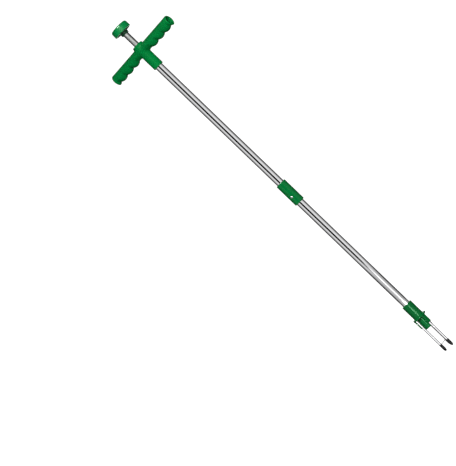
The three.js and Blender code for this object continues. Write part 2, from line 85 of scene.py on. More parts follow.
class Slot(Enum):
    """The record's material slots."""

    GREEN = "green_plastic"
    DARK_GREEN = "dark_green_plastic"
    WHITE = "white_plastic"
    BLACK = "black_tip"
    TUBE = "stainless_tube"
    TINE = "tine_steel"
    ZINC = "zinc_steel"


class Finish(Enum):
    """The finishes of the visible pieces, each with the record's slot that it belongs to."""

    GRIP = ("grip_green", Slot.GREEN)
    FITTING = ("fitting_green", Slot.GREEN)
    KNOB = ("knob_green", Slot.GREEN)
    COLLAR = ("collar_green", Slot.DARK_GREEN)
    NYLON = ("natural_nylon", Slot.WHITE)
    TIP = ("tip_black", Slot.BLACK)
    TUBE = ("tube_steel", Slot.TUBE)
    # Painted shade: the plunger's steel is a darker copy of the tube steel, for the shade under the knob and
    # handle.
    PLUNGER = ("plunger_steel", Slot.TUBE)
    TINE = ("tine_steel", Slot.TINE)
    WIRE = ("wire_steel", Slot.TINE)
    ZINC = ("bright_zinc", Slot.ZINC)

    @property
    def slot(self) -> Slot:
        """The record's slot."""
        return self.value[1]


# ------------------------------------------------------------------------------------------------
# Node maths
# ------------------------------------------------------------------------------------------------
@dataclass
class Field:
    """A number that a node tree works out at each point, with the usual arithmetic.

    Args:
        tree: The node tree that holds the nodes.
        socket: The output that carries the number.
    """

    tree: bpy.types.NodeTree
    socket: bpy.types.NodeSocket

    def math(self, operation: str, *others: Number) -> "Field":
        """Applies a Math node to this number and the others.

        Args:
            operation: The Math node's operation.
            others: Its further inputs, as fields or plain numbers.

        Returns:
            The result as a field.
        """
        node = self.tree.nodes.new("ShaderNodeMath")
        node.operation = operation
        for index, value in enumerate((self, *others)):
            plug(self.tree, value, node.inputs[index])
        return Field(self.tree, node.outputs[0])

    def __add__(self, other: Number) -> "Field":
        """Sum."""
        return self.math("ADD", other)

    def __sub__(self, other: Number) -> "Field":
        """Difference."""
        return self.math("SUBTRACT", other)

    def __rsub__(self, other: float) -> "Field":
        """A plain number less this one."""
        return self * -1.0 + other

    def __mul__(self, other: Number) -> "Field":
        """Product."""
        return self.math("MULTIPLY", other)

    def __truediv__(self, other: Number) -> "Field":
        """Quotient."""
        return self.math("DIVIDE", other)

    def __neg__(self) -> "Field":
        """The number with its sign turned."""
        return self.math("MULTIPLY", -1.0)

    def __abs__(self) -> "Field":
        """The number without its sign."""
        return self.math("ABSOLUTE")

    def beside(self, other: "Field") -> "Field":
        """Length of the vector that has this and the other number as its two parts."""
        return (self * self + other * other).math("SQRT")

    def joined(self, other: "Field", blend: float) -> "Field":
        """Distance to the union of two solids, with a fillet about as wide as blend."""
        return self.math("SMOOTH_MIN", other, blend)

    def within(self, other: "Field", blend: float) -> "Field":
        """Distance to what two solids share, with an edge rounded by blend."""
        return self.math("SMOOTH_MAX", other, blend)

    def without(self, other: "Field", blend: float) -> "Field":
        """Distance to this solid once the other is cut out of it."""
        return self.within(-other, blend)

    def ramp(self, start: Number, end: Number, low: Number = 0.0, high: Number = 1.0) -> "Field":
        """A smooth step from low at start to high at end."""
        node = self.tree.nodes.new("ShaderNodeMapRange")
        node.interpolation_type = "SMOOTHSTEP"
        for name, value in (("Value", self), ("From Min", start), ("From Max", end),
                            ("To Min", low), ("To Max", high)):
            plug(self.tree, value, node.inputs[name])
        return Field(self.tree, node.outputs[0])


def plug(tree: bpy.types.NodeTree, value: object, target: bpy.types.NodeSocket) -> None:
    """Links a field, or sets a plain value, on a node's input.

    Args:
        tree: The node tree.
        value: A field, a socket or a plain value.
        target: The input.
    """
    if isinstance(value, Field):
        tree.links.new(value.socket, target)
    elif isinstance(value, bpy.types.NodeSocket):
        tree.links.new(value, target)
    else:
        target.default_value = value


class ShapeTree:
    """A Geometry Nodes tree with named sizes, which ends as one plain mesh.

    Args:
        name: The tree's name.
    """

    evening_passes = 3

    def __init__(self, name: str) -> None:
        """Starts an empty tree with its output and its group input."""
        self.group = bpy.data.node_groups.new(name, "GeometryNodeTree")
        self.group.interface.new_socket("Geometry", in_out="OUTPUT", socket_type="NodeSocketGeometry")
        self.output = self.group.nodes.new("NodeGroupOutput")
        self.input = self.group.nodes.new("NodeGroupInput")
        self.values: dict[str, object] = {}

    def node(self, kind: str, **inputs: object) -> bpy.types.Node:
        """Adds a node and fills its named inputs.

        Args:
            kind: The node's type.
            inputs: Values by input name, with underscores for spaces.

        Returns:
            The node.
        """
        made = self.group.nodes.new(kind)
        for name, value in inputs.items():
            plug(self.group, value, made.inputs[name.replace("_", " ")])
        return made

    def size(self, name: str, value: float) -> Field:
        """Adds a named size to the tree's inputs.

        Args:
            name: The size's name in plain words.
            value: Its value in metres, or a count or angle.

        Returns:
            The size as a field.
        """
        socket = self.group.interface.new_socket(name, in_out="INPUT", socket_type="NodeSocketFloat")
        self.values[socket.identifier] = float(value)
        return Field(self.group, self.input.outputs[name])

    def position(self) -> tuple[Field, Field, Field]:
        """The point's three coordinates."""
        parts = self.node("ShaderNodeSeparateXYZ")
        self.group.links.new(self.node("GeometryNodeInputPosition").outputs[0], parts.inputs[0])
        return tuple(Field(self.group, parts.outputs[i]) for i in range(3))

    def fill(self, distance: Field, low: Vector, high: Vector, voxel: float) -> bpy.types.NodeSocket:
        """Turns a distance rule into a mesh of the solid where the distance is negative.

        Args:
            distance: The signed distance to the solid's skin.
            low: Lowest corner of the solid.
            high: Highest corner of the solid.
            voxel: Spacing of the grid.

        Returns:
            The mesh's socket.
        """
        margin = Vector((3 * voxel,) * 3)
        size = high - low + 2 * margin
        cube = self.node("GeometryNodeVolumeCube", Density=-distance, Background=-1.0,
                         Min=low - margin, Max=high + margin)
        for axis, length in zip("XYZ", size):
            cube.inputs[f"Resolution {axis}"].default_value = math.ceil(length / voxel)
        mesh = self.node("GeometryNodeVolumeToMesh", Volume=cube.outputs[0], Threshold=0.0)
        place = self.node("GeometryNodeInputPosition")
        evened = self.group.nodes.new("GeometryNodeBlurAttribute")
        evened.data_type = "FLOAT_VECTOR"
        for socket in evened.inputs:
            if socket.enabled and socket.name == "Value":
                self.group.links.new(place.outputs[0], socket)
            elif socket.enabled and socket.name == "Iterations":
                socket.default_value = self.evening_passes
        result = next(socket for socket in evened.outputs if socket.enabled)
        smooth = self.node("GeometryNodeSetPosition", Geometry=mesh.outputs[0], Position=result)
        return smooth.outputs[0]

    def plain(self, shape: bpy.types.NodeSocket, name: str, material: bpy.types.Material) -> bpy.types.Object:
        """Ends the tree in Realize Instances and Set Material, and turns it into a plain mesh.

        Args:
            shape: The geometry to end with.
            name: The piece's name.
            material: Its material.

        Returns:
            The finished object, at the origin, with no modifier.
        """
        real = self.node("GeometryNodeRealizeInstances", Geometry=shape)
        smooth = self.node("GeometryNodeSetShadeSmooth", Geometry=real.outputs[0])
        dressed = self.node("GeometryNodeSetMaterial", Geometry=smooth.outputs[0], Material=material)
        self.group.links.new(dressed.outputs[0], self.output.inputs[0])
        carrier = new_object(name, bpy.data.meshes.new(name))
        modifier = carrier.modifiers.new("shape", "NODES")
        modifier.node_group = self.group
        for identifier, value in self.values.items():
            modifier[identifier] = value
        mesh = bpy.data.meshes.new_from_object(carrier.evaluated_get(bpy.context.evaluated_depsgraph_get()))
        carrier.modifiers.remove(modifier)
        empty, carrier.data = carrier.data, mesh
        bpy.data.meshes.remove(empty)
        mesh.name = name
        bpy.data.node_groups.remove(self.group)
        if not mesh.materials:
            mesh.materials.append(material)
        return carrier


# ------------------------------------------------------------------------------------------------
# Shared shader effects
# ------------------------------------------------------------------------------------------------
class Effect:
    """A shader node group with named inputs and outputs, built once and used by several materials.

    Args:
        name: The group's name.
        numbers: Its inputs with their defaults.
        outputs: The names of what it puts out.
    """

    def __init__(self, name: str, numbers: dict[str, float], outputs: tuple[str, ...]) -> None:
        """Makes the group with its sockets."""
        self.group = bpy.data.node_groups.new(name, "ShaderNodeTree")
        for label, value in numbers.items():
            socket = self.group.interface.new_socket(label, in_out="INPUT", socket_type="NodeSocketFloat")
            socket.default_value = value
        for label in outputs:
            self.group.interface.new_socket(label, in_out="OUTPUT", socket_type="NodeSocketFloat")
        self.source = self.group.nodes.new("NodeGroupInput")
        self.target = self.group.nodes.new("NodeGroupOutput")

    def number(self, name: str) -> Field:
        """One of the group's inputs."""
        return Field(self.group, self.source.outputs[name])

    def give(self, name: str, value: Field) -> None:
        """Links a field to one of the group's outputs."""
        plug(self.group, value, self.target.inputs[name])

    def noise(self, scale: Field, stretch: tuple[float, float, float], detail: float, rough: float) -> Field:
        """Noise on the piece's own coordinates.

        Args:
            scale: How many features there are in a metre.
            stretch: How much finer the pattern is along each axis.
            detail: Layers of finer noise.
            rough: Strength of the finer layers.

        Returns:
            The noise, about 0.5.
        """
        place = self.group.nodes.new("ShaderNodeTexCoord")
        spread = self.group.nodes.new("ShaderNodeMapping")
        spread.inputs["Scale"].default_value = stretch
        self.group.links.new(place.outputs["Object"], spread.inputs["Vector"])
        node = self.group.nodes.new("ShaderNodeTexNoise")
        self.group.links.new(spread.outputs[0], node.inputs["Vector"])
        plug(self.group, scale, node.inputs["Scale"])
        node.inputs["Detail"].default_value = detail
        node.inputs["Roughness"].default_value = rough
        return Field(self.group, node.outputs[0])


@dataclass(frozen=True)
class Effects:
    """The shared effects, one shader node group each."""

    grain: bpy.types.NodeTree
    wear_and_highlight: bpy.types.NodeTree
    lines: bpy.types.NodeTree
    handling: bpy.types.NodeTree

    @staticmethod
    def build() -> "Effects":
        """Builds each group once.

        Returns:
            The groups.
        """
        return Effects(Effects.mould_grain(), Effects.edge_wear_and_highlight(), Effects.draw_lines(),
                       Effects.handling_marks())

    @staticmethod
    def mould_grain() -> bpy.types.NodeTree:
        """Fine spark-eroded mould texture with a slow swirl under it."""
        effect = Effect("mould_grain", {"Fineness": 2600.0, "Swirl": 38.0}, ("Height", "Tone"))
        fine = effect.noise(effect.number("Fineness"), (1, 1, 1), 2.0, 0.6)
        slow = effect.noise(effect.number("Swirl"), (1, 1, 0.6), 3.0, 0.5)
        effect.give("Height", fine * 0.8 + slow * 0.2)
        effect.give("Tone", slow.ramp(0.3, 0.7))
        return effect.group

    @staticmethod
    def edge_wear_and_highlight() -> bpy.types.NodeTree:
        """A mask of outer edges lightened by rubbing and by a painted highlight on rounded rims, broken up by
        noise.
        """
        effect = Effect("edge_wear_and_highlight", {"Amount": 0.5, "Breakup": 420.0}, ("Mask",))
        geometry = effect.group.nodes.new("ShaderNodeNewGeometry")
        sharp = Field(effect.group, geometry.outputs["Pointiness"]).ramp(0.53, 0.62)
        broken = effect.noise(effect.number("Breakup"), (1, 1, 1), 4.0, 0.65).ramp(0.42, 0.6)
        effect.give("Mask", sharp * broken * effect.number("Amount"))
        return effect.group

    @staticmethod
    def draw_lines() -> bpy.types.NodeTree:
        """Long fine lines left by drawing and polishing, along Z."""
        effect = Effect("draw_lines", {"Fineness": 900.0}, ("Height", "Tone"))
        long_lines = effect.noise(effect.number("Fineness"), (1, 1, 0.004), 5.0, 0.7)
        patches = effect.noise(effect.number("Fineness") * 0.03, (1, 1, 0.25), 2.0, 0.5)
        effect.give("Height", long_lines)
        effect.give("Tone", long_lines.ramp(0.35, 0.7) * 0.6 + patches.ramp(0.35, 0.65) * 0.4)
        return effect.group

    @staticmethod
    def handling_marks() -> bpy.types.NodeTree:
        """Small scuffs and smears from hands and soil."""
        effect = Effect("handling_marks", {"Spread": 70.0, "Scuffs": 900.0}, ("Mask",))
        smear = effect.noise(effect.number("Spread"), (1, 1, 1), 4.0, 0.6).ramp(0.48, 0.72)
        scuff = effect.noise(effect.number("Scuffs"), (1, 0.2, 0.2), 2.0, 0.5).ramp(0.58, 0.66)
        effect.give("Mask", smear * 0.7 + scuff * 0.3)
        return effect.group


@dataclass
class Bench:
    """A material being made: its tree, its shader and short ways to wire them.

    Args:
        name: The material's name.
    """

    name: str
    material: bpy.types.Material = field(init=False)
    tree: bpy.types.NodeTree = field(init=False)
    shader: bpy.types.Node = field(init=False)

    def __post_init__(self) -> None:
        """Makes the material with one Principled shader."""
        self.material = bpy.data.materials.new(self.name)
        self.material.use_nodes = True
        self.tree = self.material.node_tree
        self.tree.nodes.clear()
        end = self.tree.nodes.new("ShaderNodeOutputMaterial")
        self.shader = self.tree.nodes.new("ShaderNodeBsdfPrincipled")
        self.tree.links.new(self.shader.outputs[0], end.inputs["Surface"])

    def effect(self, group: bpy.types.NodeTree, **numbers: float) -> dict[str, Field]:
        """Places a shared effect with its own values.

        Args:
            group: The effect's node group.
            numbers: Its inputs by name.

        Returns:
            Its outputs by name.
        """
        node = self.tree.nodes.new("ShaderNodeGroup")
        node.node_tree = group
        for label, value in numbers.items():
            node.inputs[label].default_value = value
        return {socket.name: Field(self.tree, socket) for socket in node.outputs}

    def mix(self, share: Field, first: object, second: object) -> bpy.types.NodeSocket:
        """Mixes two colours by a mask."""
        node = self.tree.nodes.new("ShaderNodeMix")
        node.data_type = "RGBA"
        plug(self.tree, share, node.inputs[0])
        plug(self.tree, first, node.inputs[6])
        plug(self.tree, second, node.inputs[7])
        return node.outputs[2]

    def bump(self, height: Field, depth: float) -> None:
        """Puts a height on the surface, depth metres from its lowest to its highest."""
        node = self.tree.nodes.new("ShaderNodeBump")
        node.inputs["Strength"].default_value = 1.0
        node.inputs["Distance"].default_value = depth
        plug(self.tree, height, node.inputs["Height"])
        self.tree.links.new(node.outputs[0], self.shader.inputs["Normal"])

    def put(self, name: str, value: object) -> None:
        """Sets or links one of the shader's inputs."""
        plug(self.tree, value, self.shader.inputs[name])


Colour = tuple[float, float, float, float]


@dataclass(frozen=True)
class Plastic:
    """An injection-moulded plastic.

    Args:
        colour: Its main colour.
        deep: The colour in the slow darker swirls.
        worn_and_lit: The colour of edges that rubbing has lightened, and of the painted highlight on rounded
            rims.
        roughness: Roughness of the clean surface.
        shine: Strength of its reflection.
        wear_and_highlight: Strength of the edge rubbing and of the painted highlight on rounded rims.
        tint: Colour of its reflection.
        grain_depth: Depth of the mould texture.
        smear: How much rougher the handled patches are.
    """

    colour: Colour
    deep: Colour
    worn_and_lit: Colour
    roughness: float
    shine: float
    wear_and_highlight: float
    tint: Colour = (1, 1, 1, 1)
    grain_depth: float = 0.004 * MM
    smear: float = 0.12

    def make(self, name: str, effects: Effects) -> bpy.types.Material:
        """Builds the material.

        Args:
            name: The material's name.
            effects: The shared effects.

        Returns:
            The material.
        """
        bench = Bench(name)
        grain = bench.effect(effects.grain, Fineness=2600.0, Swirl=38.0)
        rubbed_and_lit = bench.effect(effects.wear_and_highlight, Amount=self.wear_and_highlight, Breakup=420.0)["Mask"]
        marks = bench.effect(effects.handling, Spread=70.0, Scuffs=900.0)["Mask"]
        body = bench.mix(grain["Tone"], self.colour, self.deep)
        # Edges under the mask get a lighter colour: partly edge rubbing, partly a painted highlight on
        # rounded rims.
        bench.put("Base Color", bench.mix(rubbed_and_lit, body, self.worn_and_lit))
        bench.put("Roughness", marks * self.smear + rubbed_and_lit * 0.15 + self.roughness)
        bench.put("Specular IOR Level", self.shine)
        bench.put("Specular Tint", self.tint)
        bench.bump(grain["Height"], self.grain_depth)
        return bench.material


@dataclass(frozen=True)
class Steel:
    """A bright steel, drawn or plated.

    Args:
        colour: Its colour where it is clean.
        dull: Its colour in the duller patches.
        roughness: Roughness of the polished surface.
        spread: How much rougher the dull lines are.
        fineness: How fine the lines are.
        line_depth: Depth of the lines.
    """

    colour: Colour
    dull: Colour
    roughness: float
    spread: float
    fineness: float
    line_depth: float = 0.003 * MM

    def make(self, name: str, effects: Effects) -> bpy.types.Material:
        """Builds the material.

        Args:
            name: The material's name.
            effects: The shared effects.

        Returns:
            The material.
        """
        bench = Bench(name)
        lines = bench.effect(effects.lines, Fineness=self.fineness)
        marks = bench.effect(effects.handling, Spread=45.0, Scuffs=1400.0)["Mask"]
        bench.put("Base Color", bench.mix(lines["Tone"], self.colour, self.dull))
        bench.put("Metallic", 1.0)
        bench.put("Roughness", lines["Tone"] * self.spread + marks * 0.03 + self.roughness)
        bench.bump(lines["Height"], self.line_depth)
        return bench.material


@dataclass(frozen=True)
class Finishes:
    """Every finish of the tool, made once."""

    materials: dict[Finish, bpy.types.Material]

    @staticmethod
    def build() -> "Finishes":
        """Makes each finish once.

        Returns:
            The finishes.
        """
        effects = Effects.build()
        # The third colour is the lighter green of edge rubbing, which also paints a highlight on rounded
        # rims.
        green, deep, rubbed_and_lit = (0.0004, 0.17, 0.034, 1), (0.0003, 0.14, 0.027, 1), (0.06, 0.34, 0.14, 1)
        leaf = (0.42, 1.0, 0.58, 1)
        recipes: dict[Finish, Plastic | Steel] = {
            Finish.GRIP: Plastic(green, deep, rubbed_and_lit, 0.42, 0.04, 0.6, leaf, 0.003 * MM),
            Finish.FITTING: Plastic(green, deep, rubbed_and_lit, 0.14, 0.25, 0.5, leaf, 0.002 * MM, 0.03),
            Finish.KNOB: Plastic((0.001, 0.19, 0.045, 1), (0.001, 0.16, 0.037, 1), rubbed_and_lit, 0.18, 0.3, 0.5,
                                 (0.8, 1.0, 0.85, 1), 0.002 * MM, 0.05),
            Finish.COLLAR: Plastic((0.001, 0.03, 0.01, 1), (0.001, 0.022, 0.007, 1), (0.02, 0.08, 0.04, 1),
                                   0.4, 0.25, 0.3),
            Finish.NYLON: Plastic((0.7, 0.71, 0.68, 1), (0.62, 0.63, 0.6, 1), (0.8, 0.8, 0.78, 1),
                                  0.5, 0.4, 0.2),
            Finish.TIP: Plastic((0.006, 0.006, 0.007, 1), (0.003, 0.003, 0.004, 1), (0.05, 0.05, 0.055, 1),
                                0.16, 0.25, 0.35),
            Finish.TUBE: Steel((0.8, 0.8, 0.81, 1), (0.68, 0.68, 0.69, 1), 0.02, 0.03, 900.0),
            # Darker than the tube steel only as painted shade under the knob and handle.
            Finish.PLUNGER: Steel((0.66, 0.68, 0.66, 1), (0.56, 0.58, 0.56, 1), 0.07, 0.06, 1100.0),
            Finish.TINE: Steel((0.74, 0.74, 0.75, 1), (0.62, 0.62, 0.63, 1), 0.06, 0.06, 1500.0),
            Finish.WIRE: Steel((0.05, 0.05, 0.053, 1), (0.03, 0.03, 0.033, 1), 0.25, 0.1, 1500.0),
            Finish.ZINC: Steel((0.62, 0.65, 0.63, 1), (0.5, 0.52, 0.51, 1), 0.26, 0.16, 1800.0),
        }
        return Finishes({finish: recipe.make(finish.value[0], effects) for finish, recipe in recipes.items()})

    def __getitem__(self, finish: Finish) -> bpy.types.Material:
        """The material of a finish."""
        return self.materials[finish]

    def of_slot(self, slot: Slot) -> bpy.types.Material:
        """The material of a CAD piece that keeps its shape."""
        return next(self.materials[finish] for finish in Finish if finish.slot is slot)


# ------------------------------------------------------------------------------------------------
# Turned shapes
# ------------------------------------------------------------------------------------------------
@dataclass(frozen=True)
class Corner:
    """A corner of a turned outline.

    Args:
        radius: Distance from the axis.
        height: Height along the axis.
        fillet: Radius of the rounding, or 0 for a sharp corner.
    """

    radius: float
    height: float
    fillet: float = 0.0


def rounded_outline(corners: list[Corner], steps: int = 5) -> list[tuple[float, float]]:
    """Rounds the corners of a closed outline.

    Args:
        corners: The outline's corners in order.
        steps: Straight pieces in each rounding.

    Returns:
        The outline as (radius, height) points, with a short flat beside each rounding for clean shading.
    """
    points: list[tuple[float, float]] = []
    for index, corner in enumerate(corners):
        here = Vector((corner.radius, corner.height))
        if corner.fillet <= 0:
            points.append(tuple(here))
            continue
        before, after = corners[index - 1], corners[(index + 1) % len(corners)]
        back = (Vector((before.radius, before.height)) - here)
        ahead = (Vector((after.radius, after.height)) - here)
        half_angle = back.angle(ahead) / 2
        reach = min(corner.fillet / math.tan(half_angle), back.length * 0.49, ahead.length * 0.49)
        fillet = reach * math.tan(half_angle)
        centre = here + (back.normalized() + ahead.normalized()).normalized() * fillet / math.sin(half_angle)
        start, end = here + back.normalized() * reach, here + ahead.normalized() * reach
        from_centre, to_centre = start - centre, end - centre
        sweep = from_centre.angle(to_centre)
        turn = 1 if from_centre.x * to_centre.y - from_centre.y * to_centre.x > 0 else -1
        shoulder = min(fillet * 0.15, back.length * 0.49 - reach + 1e-9, ahead.length * 0.49 - reach + 1e-9)
        if shoulder > 1e-6:
            points.append(tuple(start + back.normalized() * shoulder))
        for step in range(steps + 1):
            angle = turn * sweep * step / steps
            cos, sin = math.cos(angle), math.sin(angle)
            points.append((centre.x + from_centre.x * cos - from_centre.y * sin,
                           centre.y + from_centre.x * sin + from_centre.y * cos))
        if shoulder > 1e-6:
            points.append(tuple(end + ahead.normalized() * shoulder))
    return points


def turned_mesh(name: str, corners: list[Corner], sides: int, steps: int = 5) -> bpy.types.Mesh:
    """Turns a closed outline about Z.

    Args:
        name: The mesh's name.
        corners: The outline.
        sides: Facets round the axis.
        steps: Straight pieces in each rounded corner.

    Returns:
        A closed mesh with its faces out.
    """
    outline = rounded_outline(corners, steps)
    shape = bmesh.new()
    rings: list[list[bmesh.types.BMVert]] = []
    for radius, height in outline:
        if radius < 1e-7:
            rings.append([shape.verts.new((0, 0, height))] * sides)
            continue
        rings.append([
            shape.verts.new((radius * math.cos(angle), radius * math.sin(angle), height))
            for angle in (2 * math.pi * side / sides for side in range(sides))
        ])
    for index, ring in enumerate(rings):
        following = rings[(index + 1) % len(rings)]
        for side in range(sides):
            beside = (side + 1) % sides
            loop = dict.fromkeys((ring[side], ring[beside], following[beside], following[side]))
            if len(loop) > 2:
                shape.faces.new(list(loop))
    bmesh.ops.remove_doubles(shape, verts=shape.verts, dist=1e-7)
    bmesh.ops.recalc_face_normals(shape, faces=shape.faces)
    mesh = bpy.data.meshes.new(name)
    for face in shape.faces:
        face.smooth = True
    shape.to_mesh(mesh)
    shape.free()
    return mesh


def tube_corners(inner: float, outer: float, low: float, high: float, fillet: float) -> list[Corner]:
    """Outline of a tube's wall, with rounded ends."""
    return [Corner(inner, low, fillet), Corner(outer, low, fillet),
            Corner(outer, high, fillet), Corner(inner, high, fillet)]


def new_object(name: str, mesh: bpy.types.Mesh) -> bpy.types.Object:
    """Puts a mesh in the scene as an object at the origin."""
    made = bpy.data.objects.new(name, mesh)
    bpy.context.scene.collection.objects.link(made)
    return made


def aimed(mesh: bpy.types.Mesh, direction: Vector, place: Vector) -> bpy.types.Mesh:
    """Turns a mesh from +Z to a direction and moves it to its place.

    Args:
        mesh: The mesh.
        direction: Where its +Z should point.
        place: Where its origin should be.

    Returns:
        The same mesh.
    """
    mesh.transform(Matrix.Translation(place) @ direction.to_track_quat("Z", "Y").to_matrix().to_4x4())
    return mesh


@dataclass
class Assembly:
    """What every sub-assembly needs: the finishes and a way to hand in a finished piece."""

    finishes: Finishes

    def adopt(self, piece: bpy.types.Object, body: Body, finish: Finish, *nodes: str) -> bpy.types.Object:
        """Makes a finished piece ride on its body and stand for its CAD nodes.

        Args:
            piece: The finished object.
            body: The body it moves with.
            finish: Its finish, which is not used.
            nodes: The CAD nodes it replaces.

        Returns:
            The piece.
        """
        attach(piece, body.value)
        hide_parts(*nodes)
        faces = len(piece.data.polygons)
        LOG.info("%s: %d faces, on %s, for %s", piece.name, faces, body.value, ", ".join(nodes))
        return piece

    def turned(self, name: str, corners: list[Corner], finish: Finish, sides: int = 96, steps: int = 5,
               direction: Vector = Vector((0, 0, 1)), place: Vector = Vector((0, 0, 0))) -> bpy.types.Object:
        """Makes a turned piece with its material.

        Args:
            name: The piece's name.
            corners: Its outline.
            finish: Its finish.
            sides: Facets round it.
            steps: Straight pieces in each rounding.
            direction: Where its axis points.
            place: Where its origin is.

        Returns:
            The object.
        """
        mesh = aimed(turned_mesh(name, corners, sides, steps), direction, place)
        mesh.materials.append(self.finishes[finish])
        return new_object(name, mesh)


# ------------------------------------------------------------------------------------------------
# T-handle
# ------------------------------------------------------------------------------------------------
@dataclass
class Handle(Assembly):
    """The moulded T-handle and the screw at its back."""

    arm_radius: float = 11.65 * MM
    axis_below_top: float = 15.6 * MM
    lobe_pitch: float = 19.3 * MM
    lobe_depth: float = 4.5 * MM
    end_lobe_overhang: float = 3.4 * MM
    flat_half: float = 19.8 * MM
    valley_round: float = 2.2 * MM
    mouth_radius: float = 7.8 * MM
    mouth_depth: float = 4.0 * MM
    bore_radius: float = 6.0 * MM
    bore_end: float = 26.0 * MM
    rim_round: float = 1.3 * MM
    hub_radius: float = 10.8 * MM
    lip: float = 0.4 * MM
    lip_height: float = 4.0 * MM
    fillet: float = 5.0 * MM
    socket_radius: float = 8.15 * MM
    roof: float = 2.5 * MM
    plunger_hole: float = 6.1 * MM
    mouth_taper: float = 1.5 * MM
    bore_end_round: float = 1.0 * MM
    bore_edge: float = 1.4 * MM
    socket_end_round: float = 0.4 * MM
    socket_edge: float = 0.8 * MM
    hole_bevel: float = 0.4 * MM
    hole_bevel_depth: float = 1.0 * MM
    hole_edge: float = 0.5 * MM
    lip_blend: float = 0.3 * MM
    hub_top_round: float = 1.6 * MM
    hub_foot_round: float = 1.8 * MM
    voxel: float = 0.56 * MM

    def build(self) -> None:
        """Builds the handle and its screw."""
        self.adopt(self.moulding(), Body.SHAFT, Finish.GRIP, "t_handle")
        self.adopt(self.screw(), Body.SHAFT, Finish.ZINC, "handle_screw")

    def moulding(self) -> bpy.types.Object:
        """The handle: two hollow arms with finger lobes, blended into the hub.

        Returns:
            The piece.
        """
        low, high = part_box("t_handle")
        tree = ShapeTree("handle_rule")
        x, y, z = tree.position()
        half_span = tree.size("Half span", high.x)
        top = tree.size("Hub top", high.z)
        foot = tree.size("Hub foot", low.z)
        across = abs(x)
        rise = z - (top - self.axis_below_top)
        from_axis = y.beside(rise)
        arm = from_axis - self.grip_radius(tree, across, half_span, rise, from_axis)
        arm = arm.within(across - half_span, self.rim_round)
        from_shaft = x.beside(y)
        hub = self.hub(tree, z, from_shaft, top, foot)
        solid = arm.joined(hub, self.fillet)
        narrowing = half_span - self.mouth_depth
        taper_start = narrowing - self.mouth_taper
        bore_radius = across.ramp(taper_start, narrowing, self.bore_radius, self.mouth_radius)
        bore = (from_axis - bore_radius).within(-across + self.bore_end, self.bore_end_round)
        socket = (from_shaft - self.socket_radius).within(z - (top - self.roof), self.socket_end_round)
        bevel = (z - top).ramp(-self.hole_bevel_depth, 0.0, 0.0, self.hole_bevel)
        mouth = from_shaft - self.plunger_hole - bevel
        for hole, edge in ((bore, self.bore_edge), (socket, self.socket_edge), (mouth, self.hole_edge)):
            solid = solid.without(hole, edge)
        mesh = tree.fill(solid, low, high, self.voxel)
        return tree.plain(mesh, "t_handle_moulding", self.finishes[Finish.GRIP])

    def grip_radius(self, tree: ShapeTree, across: Field, half_span: Field, rise: Field,
                    from_axis: Field) -> Field:
        """The arm's radius: round above, with finger lobes below.

        Args:
            tree: The shape's tree.
            across: Distance from the shaft along the arm.
            half_span: Half of the handle's length.
            rise: Height above the arm's axis.
            from_axis: Distance from the arm's axis.

        Returns:
            The radius at each point.
        """
        radius = tree.size("Arm radius", self.arm_radius)
        pitch = tree.size("Lobe pitch", self.lobe_pitch)
        depth = tree.size("Lobe depth", self.lobe_depth)
        lobe_radius = (pitch * pitch * 0.25 + depth * depth) / (depth * 2.0)
        from_lobe = (across - half_span - self.end_lobe_overhang).math("PINGPONG", pitch * 0.5)
        near_hub = across.math("LESS_THAN", self.flat_half) * pitch * 0.5
        from_lobe = from_lobe.math("MAXIMUM", near_hub)
        from_next = pitch - from_lobe
        drop = (from_lobe * from_lobe).math("SMOOTH_MIN", from_next * from_next,
                                           self.valley_round * self.lobe_pitch)
        under = (-rise / from_axis).ramp(-0.25, 0.75)
        return radius - drop / (lobe_radius * 2.0) * under

    def hub(self, tree: ShapeTree, z: Field, from_shaft: Field, top: Field, foot: Field) -> Field:
        """The hub column with the collar at its top.

        Args:
            tree: The shape's tree.
            z: Height.
            from_shaft: Distance from the shaft's axis.
            top: Height of the hub's top.
            foot: Height of its foot.

        Returns:
            The distance to the column.
        """
        radius = tree.size("Hub radius", self.hub_radius)
        collar = (z - top + self.lip_height).ramp(-self.lip_blend, self.lip_blend, 0.0, self.lip)
        column = from_shaft - radius - collar
        return column.within(z - top, self.hub_top_round).within(foot - z, self.hub_foot_round)

    def screw(self) -> bpy.types.Object:
        """The pan-head screw at the back of the hub, with a cross recess."""
        low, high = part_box("handle_screw")
        return Fastener(self.finishes, "hub_screw", low, high, recess=0.45).made()


